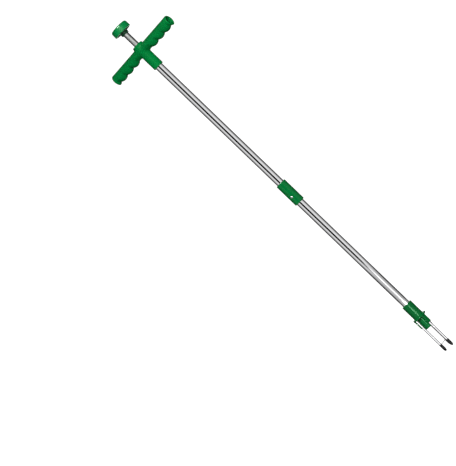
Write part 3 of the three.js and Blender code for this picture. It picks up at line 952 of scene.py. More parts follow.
@dataclass
class Fastener:
    """A short screw or rivet on the back, its head a rounded button with a recess.

    Args:
        finishes: The finishes.
        name: The piece's name.
        low: Lowest corner of the CAD fastener.
        high: Its highest corner.
        recess: Half width of the cross recess as a share of the head's radius, or 0 for a rivet's dimple.
    """

    finishes: Finishes
    name: str
    low: Vector
    high: Vector
    recess: float = 0.0
    head_height: float = 1.2 * MM
    head_round: float = 0.5 * MM
    head_under_round: float = 0.4 * MM
    dome_radius: float = 6.0 * MM
    shank_radius: float = 1.6 * MM
    shank_drop: float = 0.4 * MM
    slot_half: float = 0.42 * MM
    slot_edge: float = 0.15 * MM
    slot_depth: float = 0.8 * MM
    dimple_radius: float = 0.85 * MM
    dimple_depth: float = 0.6 * MM
    soft: float = 0.2 * MM
    softer: float = 0.3 * MM
    voxel: float = 0.11 * MM

    def made(self) -> bpy.types.Object:
        """Builds the fastener.

        Returns:
            The piece.
        """
        tree = ShapeTree(f"{self.name}_rule")
        x, y, z = tree.position()
        middle = (self.low.z + self.high.z) / 2
        head_radius = tree.size("Head radius", (self.high.z - self.low.z) / 2)
        crown = tree.size("Crown", self.high.y)
        up = z - middle
        from_axis = x.beside(up)
        dome = from_axis.beside(y - crown + self.dome_radius) - self.dome_radius
        head = (from_axis - head_radius).within(dome, self.head_round)
        head = head.within(crown - self.head_height - y, self.head_under_round)
        shank = (from_axis - self.shank_radius).within(y - crown + self.shank_drop, self.soft / 2)
        shank = shank.within(-y + self.low.y, self.softer)
        solid = head.joined(shank, self.softer)
        if self.recess > 0:
            arm = head_radius * self.recess
            slot_one = (abs(x) - arm).within(abs(up) - self.slot_half, self.slot_edge)
            slot_two = (abs(up) - arm).within(abs(x) - self.slot_half, self.slot_edge)
            hollow = slot_one.joined(slot_two, self.soft).within(-y + crown - self.slot_depth, self.soft)
        else:
            hollow = (from_axis - self.dimple_radius).within(-y + crown - self.dimple_depth, self.softer)
        mesh = tree.fill(solid.without(hollow, self.soft), self.low, self.high, self.voxel)
        return tree.plain(mesh, self.name, self.finishes[Finish.ZINC])


# ------------------------------------------------------------------------------------------------
# Shaft and coupling
# ------------------------------------------------------------------------------------------------
@dataclass
class Shaft(Assembly):
    """The two polished tubes, the coupling sleeve, and the rivets at the backs of the sleeve and the head."""

    wall: float = 1.0 * MM
    end_round: float = 0.25 * MM
    sleeve_round: float = 1.6 * MM
    sleeve_bore: float = 8.12 * MM
    bore_edge: float = 0.6 * MM
    button_hole: float = 2.65 * MM
    hole_end_round: float = 0.2 * MM
    hole_edge: float = 0.4 * MM
    dish_depth: float = 1.2 * MM
    dish_spread: float = 0.5 * MM
    voxel: float = 0.4 * MM

    def build(self) -> None:
        """Builds the tubes, the sleeve and the two rivets."""
        for node in ("upper_tube", "lower_tube"):
            low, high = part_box(node)
            corners = tube_corners(high.x - self.wall, high.x, low.z, high.z, self.end_round)
            piece = self.turned(f"{node}_steel", corners, Finish.TUBE, sides=128)
            self.adopt(piece, Body.SHAFT, Finish.TUBE, node)
        self.adopt(self.sleeve(), Body.SHAFT, Finish.FITTING, "coupling_sleeve")
        for node, name in (("coupling_rivet", "sleeve_rivet"), ("head_rivet", "barrel_rivet")):
            rivet = Fastener(self.finishes, name, *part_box(node)).made()
            self.adopt(rivet, Body.SHAFT, Finish.ZINC, node)

    def sleeve(self) -> bpy.types.Object:
        """The coupling sleeve, with a dished hole for the button.

        Returns:
            The piece.
        """
        low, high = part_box("coupling_sleeve")
        button_low, button_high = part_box("snap_button")
        tree = ShapeTree("sleeve_rule")
        x, y, z = tree.position()
        radius = tree.size("Radius", high.x)
        top = tree.size("Top", high.z)
        foot = tree.size("Foot", low.z)
        from_shaft = x.beside(y)
        wall = (from_shaft - radius).within(z - top, self.sleeve_round).within(foot - z, self.sleeve_round)
        wall = wall.without(from_shaft - self.sleeve_bore, self.bore_edge)
        from_button = x.beside(z - (button_low.z + button_high.z) / 2)
        dish = (-y).ramp(high.x - self.dish_depth, high.x, 0.0, self.dish_spread)
        hole = (from_button - self.button_hole - dish).within(y, self.hole_end_round)
        mesh = tree.fill(wall.without(hole, self.hole_edge), low, high, self.voxel)
        return tree.plain(mesh, "coupling_sleeve_moulding", self.finishes[Finish.FITTING])


@dataclass
class Button(Assembly):
    """The coupling's snap button: a domed steel pin on a foot."""

    dome: float = 1.4 * MM
    dome_flat: float = 0.1 * MM
    stem_radius: float = 2.3 * MM
    foot_height: float = 0.6 * MM
    foot_round: float = 0.2 * MM

    def build(self) -> None:
        """Builds the button."""
        low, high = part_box("snap_button")
        foot_radius = (high.z - low.z) / 2
        inside, outside = -high.y, -low.y
        step = inside + self.foot_height
        corners = [
            Corner(0, inside), Corner(foot_radius, inside, self.foot_round),
            Corner(foot_radius, step, self.foot_round), Corner(self.stem_radius, step, self.foot_round),
            Corner(self.stem_radius, outside - self.dome_flat, self.dome), Corner(0, outside),
        ]
        place = Vector((0, 0, (low.z + high.z) / 2))
        piece = self.turned("coupling_button", corners, Finish.ZINC, 64, 8, Vector((0, -1, 0)), place)
        self.adopt(piece, Body.BUTTON, Finish.ZINC, "snap_button")


# ------------------------------------------------------------------------------------------------
# Knob, plunger and push rod
# ------------------------------------------------------------------------------------------------
@dataclass
class Plunger(Assembly):
    """The push knob, its collar, the plunger tube, and the rod and nut that show when the knob is down."""

    knob_top_radius: float = 18.2 * MM
    knob_edge: float = 3.8 * MM
    knob_wall: float = 3.0 * MM
    knob_dome: float = 1.0 * MM
    boss_radius: float = 8.0 * MM
    roof_below_top: float = 5.6 * MM
    thread_pitch: float = 0.8 * MM
    thread_depth: float = 0.35 * MM
    thread_length: float = 24 * MM
    across_flats: float = 8.0 * MM
    tube_wall: float = 1.0 * MM
    tube_end_round: float = 0.25 * MM
    collar_bore: float = 6.0 * MM
    collar_narrowing: float = 0.55 * MM
    collar_foot_round: float = 0.7 * MM
    collar_gap: float = 0.2 * MM
    neck_radius: float = 6.1 * MM
    boss_above_rim: float = 0.4 * MM
    rim_round: float = 0.9 * MM
    nut_bore: float = 2.55 * MM
    nut_edge: float = 0.2 * MM
    nut_voxel: float = 0.14 * MM

    def build(self) -> None:
        """Builds the knob, collar, tube, rod and nut."""
        self.adopt(self.knob(), Body.PLUNGER, Finish.KNOB, "knob_cap")
        low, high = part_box("knob_collar")
        collar_top = high.z - self.collar_gap
        corners = [
            Corner(self.collar_bore, low.z, 0.3 * MM),
            Corner(high.x - self.collar_narrowing, low.z, self.collar_foot_round),
            Corner(high.x, collar_top, 0.5 * MM), Corner(self.collar_bore, collar_top, 0.2 * MM),
        ]
        collar = self.turned("knob_collar_ring", corners, Finish.COLLAR)
        self.adopt(collar, Body.PLUNGER, Finish.COLLAR, "knob_collar")
        low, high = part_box("plunger_tube")
        tube = tube_corners(high.x - self.tube_wall, high.x, low.z, high.z, self.tube_end_round)
        piece = self.turned("plunger_tube_steel", tube, Finish.PLUNGER)
        self.adopt(piece, Body.PLUNGER, Finish.PLUNGER, "plunger_tube")
        self.adopt(self.threaded_rod(), Body.PLUNGER, Finish.ZINC, "push_rod_lower")
        self.adopt(self.locknut(), Body.PLUNGER, Finish.ZINC, "core_locknut")

    def knob(self) -> bpy.types.Object:
        """The push knob: a flared cap with a domed top, hollow below round its boss.

        Returns:
            The piece.
        """
        low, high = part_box("knob_cap")
        bottom, top, rim = low.z, high.z, high.x
        height = top - bottom
        roof = top - self.roof_below_top
        boss_foot = bottom + self.boss_above_rim
        corners = [
            Corner(0, roof), Corner(self.neck_radius, roof, 0.4 * MM),
            Corner(self.neck_radius, boss_foot, 0.5 * MM), Corner(self.boss_radius, boss_foot, 0.6 * MM),
            Corner(self.boss_radius, roof, 1.2 * MM),
            Corner(self.knob_top_radius - self.knob_wall, roof, 1.5 * MM),
            Corner(rim - self.knob_wall, bottom, self.rim_round), Corner(rim, bottom, self.rim_round),
            Corner(self.knob_top_radius + 0.35 * MM, bottom + height * 0.42, 6 * MM),
            Corner(self.knob_top_radius, top - self.knob_dome, self.knob_edge),
            Corner(self.knob_top_radius * 0.45, top, 12 * MM), Corner(0, top),
        ]
        return self.turned("push_knob", corners, Finish.KNOB, sides=128, steps=10)

    def threaded_rod(self) -> bpy.types.Object:
        """The lower push rod, threaded where the core and the nut sit.

        Returns:
            The piece.
        """
        low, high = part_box("push_rod_lower")
        radius = high.x
        corners = [Corner(0, low.z), Corner(radius - self.thread_depth, low.z, 0.2 * MM)]
        turns = int(self.thread_length / self.thread_pitch)
        for turn in range(turns):
            start = low.z + (turn + 0.25) * self.thread_pitch
            corners.append(Corner(radius - self.thread_depth, start))
            corners.append(Corner(radius, start + self.thread_pitch * 0.5))
        end = low.z + (turns + 0.25) * self.thread_pitch
        corners += [Corner(radius - self.thread_depth, end), Corner(radius, end + self.thread_depth),
                    Corner(radius, high.z, 0.3 * MM), Corner(0, high.z)]
        return self.turned("push_rod_lower_steel", corners, Finish.ZINC, sides=48)

    def locknut(self) -> bpy.types.Object:
        """The hexagon nut over the core, with chamfered corners.

        Returns:
            The piece.
        """
        low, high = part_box("core_locknut")
        tree = ShapeTree("nut_rule")
        x, y, z = tree.position()
        flats = tree.size("Across flats", self.across_flats)
        sine, cosine = math.sin(math.pi / 3), math.cos(math.pi / 3)
        sides = [x, x * cosine + y * sine, x * cosine - y * sine]
        prism = abs(sides[0])
        for side in sides[1:]:
            prism = prism.math("MAXIMUM", abs(side))
        prism = prism - flats * 0.5
        from_shaft = x.beside(y)
        middle = (low.z + high.z) / 2
        from_middle = abs(z - middle)
        half = (high.z - low.z) / 2
        chamfer = (from_shaft - flats * 0.5) * 0.5 + (from_middle - half) * 0.86
        nut = prism.within(from_middle - half, self.nut_edge).within(chamfer, self.nut_edge)
        nut = nut.without(from_shaft - self.nut_bore, 2 * self.nut_edge)
        mesh = tree.fill(nut, low, high, self.nut_voxel)
        return tree.plain(mesh, "core_locknut_hex", self.finishes[Finish.ZINC])


# ------------------------------------------------------------------------------------------------
# Head, claws and ejector
# ------------------------------------------------------------------------------------------------
@dataclass
class Head(Assembly):
    """The moulded head with its flange and rails, the three tines and their tips, and the wire."""

    tine_count: int = 3
    first_angle: float = 90.0
    tine_circle: float = 10.4 * MM
    tine_radius: float = 2.45 * MM
    barrel_radius: float = 10.85 * MM
    flange_thickness: float = 3.7 * MM
    flange_bottom: float = 78.3 * MM
    rail_middle: float = 13.15 * MM
    rail_half_thickness: float = 0.95 * MM
    rail_half_width: float = 4.0 * MM
    chamber_radius: float = 9.05 * MM
    socket_radius: float = 8.12 * MM
    tip_neck: float = 0.25 * MM
    wire_radius: float = 0.55 * MM
    wire_sink: float = 0.1 * MM
    flange_round: float = 2.0 * MM
    barrel_round: float = 1.6 * MM
    rail_side_round: float = 1.4 * MM
    rail_foot_round: float = 1.6 * MM
    tine_fit: float = 0.06 * MM
    tine_hole_roof: float = 0.9 * MM
    chamber_roof: float = 1.2 * MM
    socket_floor: float = 1.4 * MM
    passage_radius: float = 7.0 * MM
    end_round: float = 0.2 * MM
    deep_end_round: float = 0.4 * MM
    hole_edge: float = 0.5 * MM
    spigot_radius: float = 1.7 * MM
    tip_nose: float = 5.4 * MM
    tip_point: float = 1.6 * MM
    tip_flat: float = 0.15 * MM
    tip_bore_radius: float = 1.8 * MM
    tip_bore_depth: float = 9.0 * MM
    groove_drop: float = 2.6 * MM
    groove_half: float = 0.5 * MM
    voxel: float = 0.34 * MM

    def build(self) -> None:
        """Builds the head, tines, tips and wire."""
        self.adopt(self.moulding(), Body.SHAFT, Finish.FITTING, "head_socket")
        nodes = [f"tine_{number + 1}" for number in range(self.tine_count)]
        self.adopt(self.tines(), Body.SHAFT, Finish.TINE, *nodes)
        nodes = [f"tine_tip_{number + 1}" for number in range(self.tine_count)]
        self.adopt(self.tips(), Body.SHAFT, Finish.TIP, *nodes)
        self.adopt(self.wire(), Body.SHAFT, Finish.WIRE, "tip_wire")

    def threefold(self, x: Field, y: Field) -> tuple[Field, Field]:
        """Folds the plan round the shaft so that every tine lies on one line.

        Args:
            x: Across.
            y: Depth.

        Returns:
            Distance out along the nearest tine's line, and distance to its side.
        """
        sector = 2 * math.pi / self.tine_count
        angle = y.math("ARCTAN2", x) - math.radians(self.first_angle)
        folded = angle.math("WRAP", sector / 2, -sector / 2)
        from_shaft = x.beside(y)
        return from_shaft * folded.math("COSINE"), from_shaft * folded.math("SINE")

    def moulding(self) -> bpy.types.Object:
        """The head: barrel, flange and a rail outside each tine.

        Returns:
            The piece.
        """
        low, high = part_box("head_socket")
        tree = ShapeTree("head_rule")
        x, y, z = tree.position()
        flange_radius = tree.size("Flange radius", high.x)
        top = tree.size("Barrel top", high.z)
        foot = tree.size("Rail foot", low.z)
        barrel_radius = tree.size("Barrel radius", self.barrel_radius)
        from_shaft = x.beside(y)
        out, side = self.threefold(x, y)
        flange_top = self.flange_bottom + self.flange_thickness
        flange_middle = self.flange_bottom + self.flange_thickness / 2
        from_middle = abs(z - flange_middle) - self.flange_thickness / 2
        flange = (from_shaft - flange_radius).within(from_middle, self.flange_round)
        barrel = (from_shaft - barrel_radius).within(z - top, self.barrel_round)
        barrel = barrel.within(-z + flange_middle, self.end_round)
        rail = (abs(out - self.rail_middle) - self.rail_half_thickness).within(
            abs(side) - self.rail_half_width, self.rail_side_round)
        rail = rail.within(z - flange_middle, self.end_round).within(foot - z, self.rail_foot_round)
        solid = flange.joined(barrel, self.flange_round).joined(rail, self.rail_foot_round)
        beside_tine = (out - self.tine_circle).beside(side)
        tine_hole = beside_tine - self.tine_radius - self.tine_fit
        tine_hole = tine_hole.within(z - flange_top + self.tine_hole_roof, self.end_round)
        chamber = from_shaft - self.chamber_radius
        chamber = chamber.within(z - flange_top + self.chamber_roof, self.deep_end_round)
        socket = from_shaft - self.socket_radius
        socket = socket.within(-z + flange_top + self.socket_floor, self.deep_end_round)
        passage = from_shaft - self.passage_radius
        for hole in (tine_hole, chamber, socket, passage):
            solid = solid.without(hole, self.hole_edge)
        mesh = tree.fill(solid, low, high, self.voxel)
        return tree.plain(mesh, "head_moulding", self.finishes[Finish.FITTING])

    def ring_of(self, name: str, one: bpy.types.Object, finish: Finish) -> bpy.types.Object:
        """Copies a shape to each tine's place.

        Args:
            name: The piece's name.
            one: The shape on the shaft's axis, which is used up.
            finish: Its finish.

        Returns:
            One mesh of all the copies.
        """
        tree = ShapeTree(f"{name}_ring")
        radius = tree.size("Tine circle radius", self.tine_circle)
        circle = tree.node("GeometryNodeMeshCircle", Vertices=self.tine_count, Radius=radius)
        turn = tree.node("GeometryNodeTransform", Geometry=circle.outputs[0],
                         Rotation=(0, 0, math.radians(self.first_angle)))
        source = tree.node("GeometryNodeObjectInfo", Object=one)
        copies = tree.node("GeometryNodeInstanceOnPoints", Points=turn.outputs[0],
                           Instance=source.outputs["Geometry"])
        piece = tree.plain(copies.outputs[0], name, self.finishes[finish])
        bpy.data.objects.remove(one)
        return piece

    def tines(self) -> bpy.types.Object:
        """The three steel tines, each necked where its tip is fitted."""
        low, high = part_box("tine_1")
        tip_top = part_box("tine_tip_1")[1].z
        corners = [
            Corner(0, low.z), Corner(self.spigot_radius, low.z, 0.4 * MM),
            Corner(self.spigot_radius, tip_top - 0.3 * MM, 0.1 * MM),
            Corner(self.tine_radius, tip_top + 0.05 * MM, 0.3 * MM),
            Corner(self.tine_radius, high.z, 0.3 * MM), Corner(0, high.z),
        ]
        return self.ring_of("tines", self.turned("tine_shape", corners, Finish.TINE, 64), Finish.TINE)

    def tips(self) -> bpy.types.Object:
        """The three bullet-shaped tips, each with a rolled top edge."""
        low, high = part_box("tine_tip_1")
        radius = (high.x - low.x) / 2
        steps = 12
        corners = [Corner(0, 0)]
        for step in range(steps + 1):
            share = step / steps
            corners.append(Corner(self.tip_point + (radius - self.tip_point) * math.sin(share * math.pi / 2),
                                  self.tip_flat + self.tip_nose * share))
        groove = high.z - self.groove_drop
        bore_end = high.z - self.tip_bore_depth
        corners += [
            Corner(radius, groove - self.groove_half, 0.3 * MM),
            Corner(radius - self.tip_neck, groove, 0.3 * MM),
            Corner(radius, groove + self.groove_half, 0.3 * MM), Corner(radius, high.z, 0.6 * MM),
            Corner(self.tip_bore_radius, high.z, 0.2 * MM), Corner(self.tip_bore_radius, bore_end, 0.3 * MM),
            Corner(0, bore_end),
        ]
        return self.ring_of("tine_tips", self.turned("tip_shape", corners, Finish.TIP, 64), Finish.TIP)

    def wire(self) -> bpy.types.Object:
        """The thin wire between two of the tips, swept along its line.

        Returns:
            The piece.
        """
        low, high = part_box("tip_wire")
        height = (low.z + high.z) / 2
        places = [math.radians(self.first_angle + step * 360 / self.tine_count) for step in range(2)]
        tip_radius = (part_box("tine_tip_1")[1].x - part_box("tine_tip_1")[0].x) / 2
        level = Vector((0, 0, height))
        ends = [Vector((math.cos(a), math.sin(a), 0)) * self.tine_circle + level for a in places]
        along = (ends[1] - ends[0]).normalized() * (tip_radius - self.wire_sink)
        start, end = ends[0] + along, ends[1] - along
        tree = ShapeTree("wire_sweep")
        radius = tree.size("Wire radius", self.wire_radius)
        line = tree.node("GeometryNodeCurvePrimitiveLine", Start=start, End=end)
        points = tree.node("GeometryNodeResampleCurve", Curve=line.outputs[0], Count=24)
        section = tree.node("GeometryNodeCurvePrimitiveCircle", Resolution=20, Radius=radius)
        sweep = tree.node("GeometryNodeCurveToMesh", Curve=points.outputs[0],
                          Profile_Curve=section.outputs[0], Fill_Caps=True)
        return tree.plain(sweep.outputs[0], "tip_wire_steel", self.finishes[Finish.WIRE])


@dataclass
class Ejector(Assembly):
    """The fluted core that slides down between the tines."""

    flute_radius: float = 2.72 * MM
    flute_edge: float = 0.6 * MM
    foot_round: float = 2.2 * MM
    top_round: float = 0.8 * MM
    bore_radius: float = 2.6 * MM
    bore_edge: float = 0.3 * MM
    bore_slack: float = 0.2 * MM
    voxel: float = 0.3 * MM

    def build(self) -> None:
        """Builds the core."""
        low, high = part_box("ejector_core")
        tree = ShapeTree("core_rule")
        x, y, z = tree.position()
        radius = tree.size("Core radius", -low.x)
        top = tree.size("Core top", high.z)
        foot = tree.size("Core foot", low.z)
        from_shaft = x.beside(y)
        core = (from_shaft - radius).within(foot - z, self.foot_round).within(z - top, self.top_round)
        head = Head(self.finishes)
        out, side = head.threefold(x, y)
        flute = (out - head.tine_circle).beside(side) - self.flute_radius
        rod_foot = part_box("push_rod_lower")[0].z
        bore = (from_shaft - self.bore_radius).within(-z + rod_foot - self.bore_slack, self.bore_slack)
        core = core.without(flute, self.flute_edge).without(bore, self.bore_edge)
        mesh = tree.fill(core, low, high, self.voxel)
        piece = tree.plain(mesh, "ejector_core_moulding", self.finishes[Finish.FITTING])
        self.adopt(piece, Body.PLUNGER, Finish.FITTING, "ejector_core")


@dataclass
class Inside(Assembly):
    """The pieces inside the shaft: the return spring is swept here, and the CAD pieces get their finishes."""

    wire_radius: float = 0.5 * MM
    turns: float = 11.0
    leaf_lean: Vector = Vector((0, -12.2 * MM, 6.3 * MM))
    leaf_thickness: float = 0.18 * MM
    leaf_reach: float = 0.6 * MM
    leaf_step: float = 2 * MM

    def build(self) -> None:
        """Builds the spring and dresses every CAD piece that stays."""
        low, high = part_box("return_spring")
        spring = self.adopt(self.spring(), Body.SHAFT, Finish.ZINC, "return_spring")
        joints = frame["record"]["behaviour"]["joints"]
        press = next(entry for entry in joints if entry["name"] == "plunger_press")
        keep = 1 - press["range_m"][1] / (high.z - low.z)
        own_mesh(spring)
        low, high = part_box("snap_spring")
        leaf = self.leaf_spring()
        leaf.data.materials.append(self.finishes[Finish.ZINC])
        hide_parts("snap_spring")
        LOG.info("%s: %d faces, bending from shaft to button", leaf.name, len(leaf.data.polygons))
        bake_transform(leaf)
        slots = {part["node"]: Slot(part["material_slot"]) for part in frame["record"]["subparts"]}
        for node, piece in frame["nodes"].items():
            piece.data.materials.clear()
            piece.data.materials.append(self.finishes.of_slot(slots[node]))
            if not piece.hide_render:
                LOG.info("%s keeps its CAD shape, in %s", node, slots[node].value)

    def leaf_spring(self) -> bpy.types.Object:
        """The button's leaf spring: its CAD shape with thinner arms, cut across every few millimetres.

        Returns:
            The piece.
        """
        source = frame["nodes"]["snap_spring"]
        low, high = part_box("snap_spring")
        shape = bmesh.new()
        shape.from_mesh(source.data)
        bmesh.ops.transform(shape, matrix=source.matrix_world, verts=shape.verts)
        for vertex in shape.verts:
            if high.y - self.leaf_reach < abs(vertex.co.y) < high.y - self.leaf_thickness:
                vertex.co.y = math.copysign(high.y - self.leaf_thickness, vertex.co.y)
        height = low.z + self.leaf_step
        while height < high.z:
            everything = list(shape.verts) + list(shape.edges) + list(shape.faces)
            bmesh.ops.bisect_plane(shape, geom=everything, plane_co=(0, 0, height), plane_no=(0, 0, 1))
            height += self.leaf_step
        mesh = bpy.data.meshes.new("snap_spring_leaf")
        shape.to_mesh(mesh)
        shape.free()
        return new_object("snap_spring_leaf", mesh)

    def spring(self) -> bpy.types.Object:
        """The return spring, swept along a spiral with closed ends.

        Returns:
            The piece.
        """
        low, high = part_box("return_spring")
        tree = ShapeTree("spring_sweep")
        wire = tree.size("Wire radius", self.wire_radius)
        coil = tree.size("Coil radius", high.x - self.wire_radius)
        rise = high.z - low.z - 2 * self.wire_radius
        spiral = tree.node("GeometryNodeCurveSpiral", Resolution=28, Rotations=self.turns,
                           Start_Radius=coil, End_Radius=coil, Height=rise)
        lift = tree.node("GeometryNodeTransform", Geometry=spiral.outputs[0],
                         Translation=(0, 0, low.z + self.wire_radius))
        section = tree.node("GeometryNodeCurvePrimitiveCircle", Resolution=12, Radius=wire)
        sweep = tree.node("GeometryNodeCurveToMesh", Curve=lift.outputs[0], Profile_Curve=section.outputs[0],
                          Fill_Caps=True)
        return tree.plain(sweep.outputs[0], "return_spring_coil", self.finishes[Finish.ZINC])


# ------------------------------------------------------------------------------------------------
# Studio
# ------------------------------------------------------------------------------------------------
@dataclass
class Studio:
    """The pale floor, the light and the camera.

    Args:
        azimuth: Where the camera stands, in degrees round the tool from the front.
        distance: How far it stands from the shaft.
        eye_height: How high it stands.
        heading: The compass turn of its line of sight, on the same scale as azimuth.
        tilt: How far its line of sight drops below level.
        lean: How far its upright leans over, so that the tool lies across the picture.
        lens: Its focal length in millimetres.
        floor_radius: Radius of the pale floor.
        strip_turn: Where the bright strip on the floor lies, in degrees to the right of the camera.
        strip_half_turn: Half of the turn that the bright strip on the floor spans.
        strip_glow: How much it glows.
        strip_blur: How many degrees its sides take to fade.
        gap_turn: Where the dark gap in the surroundings lies, on the other side of the camera.
        white: How bright the floor and the surroundings look to the camera.
        skyline: The two rises between which the mirrored surroundings change from low to high.
        shelf: The two distances from the shaft between which the floor's mirrored bands change.
    """

    azimuth: float = 27.0
    distance: float = 3.3
    eye_height: float = 0.5
    heading: float = 29.333
    tilt: float = 0.956
    lean: float = 46.15
    lens: float = 137.1
    floor_radius: float = 1.1
    strip_turn: float = 8.0
    strip_half_turn: float = 11.0
    strip_glow: float = 22.0
    strip_blur: float = 3.0
    gap_turn: float = 8.0
    white: float = 1.2
    skyline: tuple[float, float] = (0.08, 0.095)
    shelf: tuple[float, float] = (0.55, 0.65)

    def build(self) -> None:
        """Builds the floor, the lights, the surroundings and the camera."""
        self.floor()
        self.surroundings()
        self.lights()
        self.camera()
        bpy.context.scene.view_settings.view_transform = "Standard"

    def floor(self) -> None:
        """A round plain pale floor under the tips."""
        shape = bmesh.new()
        bmesh.ops.create_circle(shape, cap_ends=True, segments=96, radius=self.floor_radius)
        mesh = bpy.data.meshes.new("floor")
        shape.to_mesh(mesh)
        shape.free()
        bench = Bench("pale_floor")
        bench.put("Base Color", (0.12, 0.12, 0.12, 1))
        bench.put("Roughness", 0.9)
        bench.put("Specular IOR Level", 0.1)
        bench.put("Emission Color", (1, 1, 1, 1))
        place = bench.tree.nodes.new("ShaderNodeTexCoord")
        parts = bench.tree.nodes.new("ShaderNodeSeparateXYZ")
        bench.tree.links.new(place.outputs["Object"], parts.inputs[0])
        x, y = (Field(bench.tree, parts.outputs[i]) for i in range(2))
        turn = self.turn_of(x, y)
        away = abs(turn)
        outward = x.beside(y)
        strip = self.across_strip(turn) * outward.ramp(0.58, 0.66)
        strip = strip * outward.ramp(1.0, 1.1, self.strip_glow, 2.5)
        rays = bench.tree.nodes.new("ShaderNodeLightPath")
        seen = Field(bench.tree, rays.outputs["Is Camera Ray"])
        mirrored = Field(bench.tree, rays.outputs["Is Glossy Ray"])
        reach = outward.ramp(*self.shelf, 64.0, 115.0)
        bands = away.ramp(25, reach, outward.ramp(*self.shelf, 1.5, 0.7), 0.03) + strip
        bench.put("Emission Strength", seen * self.white + mirrored * bands)
        mesh.materials.append(bench.material)
        new_object("floor", mesh)

    def turn_of(self, x: Field, y: Field) -> Field:
        """Degrees round the shaft, from the camera's side.

        Args:
            x: Across.
            y: Depth.

        Returns:
            The turn, positive to the right.
        """
        toward = math.radians(self.azimuth)
        ahead = x * math.sin(toward) - y * math.cos(toward)
        aside = x * math.cos(toward) + y * math.sin(toward)
        return aside.math("ARCTAN2", ahead) * math.degrees(1)

    def across_strip(self, turn: Field) -> Field:
        """How much of the bright strip there is at a turn."""
        near, far = self.strip_half_turn - self.strip_blur, self.strip_half_turn + self.strip_blur
        return abs(turn - self.strip_turn).ramp(near, far, 1.0, 0.0)

    def surroundings(self) -> None:
        """White to the eye, and a studio of light and dark bands to what reflects it."""
        world = bpy.data.worlds.new("studio")
        bpy.context.scene.world = world
        world.use_nodes = True
        tree = world.node_tree
        tree.nodes.clear()
        place = tree.nodes.new("ShaderNodeTexCoord")
        parts = tree.nodes.new("ShaderNodeSeparateXYZ")
        tree.links.new(place.outputs["Generated"], parts.inputs[0])
        x, y, z = (Field(tree, parts.outputs[i]) for i in range(3))
        turn = self.turn_of(x, y)
        away = abs(turn)
        front = away.ramp(z.ramp(*self.skyline, 40.0, 0.0), z.ramp(*self.skyline, 115.0, 66.0),
                          z.ramp(*self.skyline, 1.0, 1.15), 0.05)
        behind = away.ramp(150, 160) * 0.25
        rear_line = away.ramp(164, 168) * 0.9
        outside_gap = abs(turn + self.gap_turn).ramp(20, 25)
        above_gap = abs(z).ramp(*self.skyline)
        gap = outside_gap.math("MAXIMUM", above_gap)
        overhead = z.ramp(0.6, 0.95, 0.0, 0.15)
        rays = tree.nodes.new("ShaderNodeLightPath")
        diffuse = Field(tree, rays.outputs["Is Diffuse Ray"])
        level = abs(z).ramp(0.1, 0.7, 0.2, 0.02)
        dimmed = 1.0 - diffuse * (1.0 - level)
        low = z.ramp(-self.skyline[1], -self.skyline[0], 1.0, 0.0)
        strip = self.across_strip(turn) * low * z.ramp(-0.12, -0.08, 2.0, 1.0)
        front = front * (1.0 - low * 0.35)
        strength = (front * gap + overhead + strip) * dimmed + (behind + rear_line) * (1.0 - diffuse * 0.7)
        bands = tree.nodes.new("ShaderNodeBackground")
        plug(tree, strength, bands.inputs["Strength"])
        bands.inputs["Color"].default_value = (1, 1, 1, 1)
        white = tree.nodes.new("ShaderNodeBackground")
        white.inputs["Color"].default_value = (1, 1, 1, 1)
        white.inputs["Strength"].default_value = self.white
        choose = tree.nodes.new("ShaderNodeMixShader")
        tree.links.new(rays.outputs["Is Camera Ray"], choose.inputs[0])
        tree.links.new(bands.outputs[0], choose.inputs[1])
        tree.links.new(white.outputs[0], choose.inputs[2])
        end = tree.nodes.new("ShaderNodeOutputWorld")
        tree.links.new(choose.outputs[0], end.inputs["Surface"])

    def lights(self) -> None:
        """A soft box before the handle, one that only the knob's edge mirrors, and one behind."""
        handle = Vector((0, 0, 0.8))
        self.box_light("key", handle, 4, 12, 1.5, (0.9, 0.8), 31).visible_glossy = False
        self.box_light("edge", handle, 0, 42, 1.0, (0.45, 0.4), 45).visible_diffuse = False
        rear = self.box_light("rear", handle - Vector((0, 0, 0.2)), 180, 10, 1.5, (2.4, 1.2), 34)
        rear.visible_glossy = False

    def box_light(self, name: str, target: Vector, turn: float, rise: float, reach: float,
                  size: tuple[float, float], watts: float) -> bpy.types.Object:
        """Adds a soft box that looks at a point of the tool, and that the camera doesn't see.

        Args:
            name: The light's name.
            target: The point.
            turn: Degrees to the right of the camera.
            rise: Degrees above the horizon.
            reach: Distance from the point.
            size: Its width and height.
            watts: Its power.

        Returns:
            The light.
        """
        angle, lift = math.radians(self.azimuth + turn), math.radians(rise)
        toward = Vector((math.sin(angle) * math.cos(lift), -math.cos(angle) * math.cos(lift), math.sin(lift)))
        data = bpy.data.lights.new(name, "AREA")
        data.shape = "RECTANGLE"
        data.size, data.size_y = size
        data.energy = watts
        made = bpy.data.objects.new(name, data)
        made.visible_camera = False
        bpy.context.scene.collection.objects.link(made)
        made.location = target + toward * reach
        made.rotation_mode = "QUATERNION"
        made.rotation_quaternion = (-toward).to_track_quat("-Z", "Y")
        return made

    def camera(self) -> None:
        """The camera, nearly level and far enough off that the shaft is as wide at its foot as at its top."""
        angle = math.radians(self.azimuth)
        data = bpy.data.cameras.new("camera")
        data.lens = self.lens
        data.clip_start, data.clip_end = 0.01, 60
        camera = bpy.data.objects.new("camera", data)
        eye = (math.sin(angle) * self.distance, -math.cos(angle) * self.distance, self.eye_height)
        camera.matrix_world = (
            Matrix.Translation(eye)
            @ Matrix.Rotation(math.radians(self.heading), 4, "Z")
            @ Matrix.Rotation(math.radians(90 - self.tilt), 4, "X")
            @ Matrix.Rotation(math.radians(-self.lean), 4, "Z")
        )
        bpy.context.scene.collection.objects.link(camera)
        bpy.context.scene.camera = camera


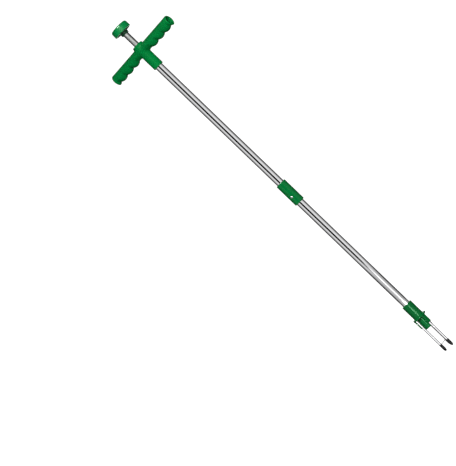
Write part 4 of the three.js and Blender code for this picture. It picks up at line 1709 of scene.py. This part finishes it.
def main() -> None:
    """Builds the studio and each sub-assembly in order."""
    logging.basicConfig(level=logging.INFO, format="%(name)s: %(message)s")
    Studio().build()
    finishes = Finishes.build()
    for assembly in (Handle, Shaft, Button, Plunger, Head, Ejector, Inside):
        assembly(finishes).build()


if __name__ == "__main__":
    main()
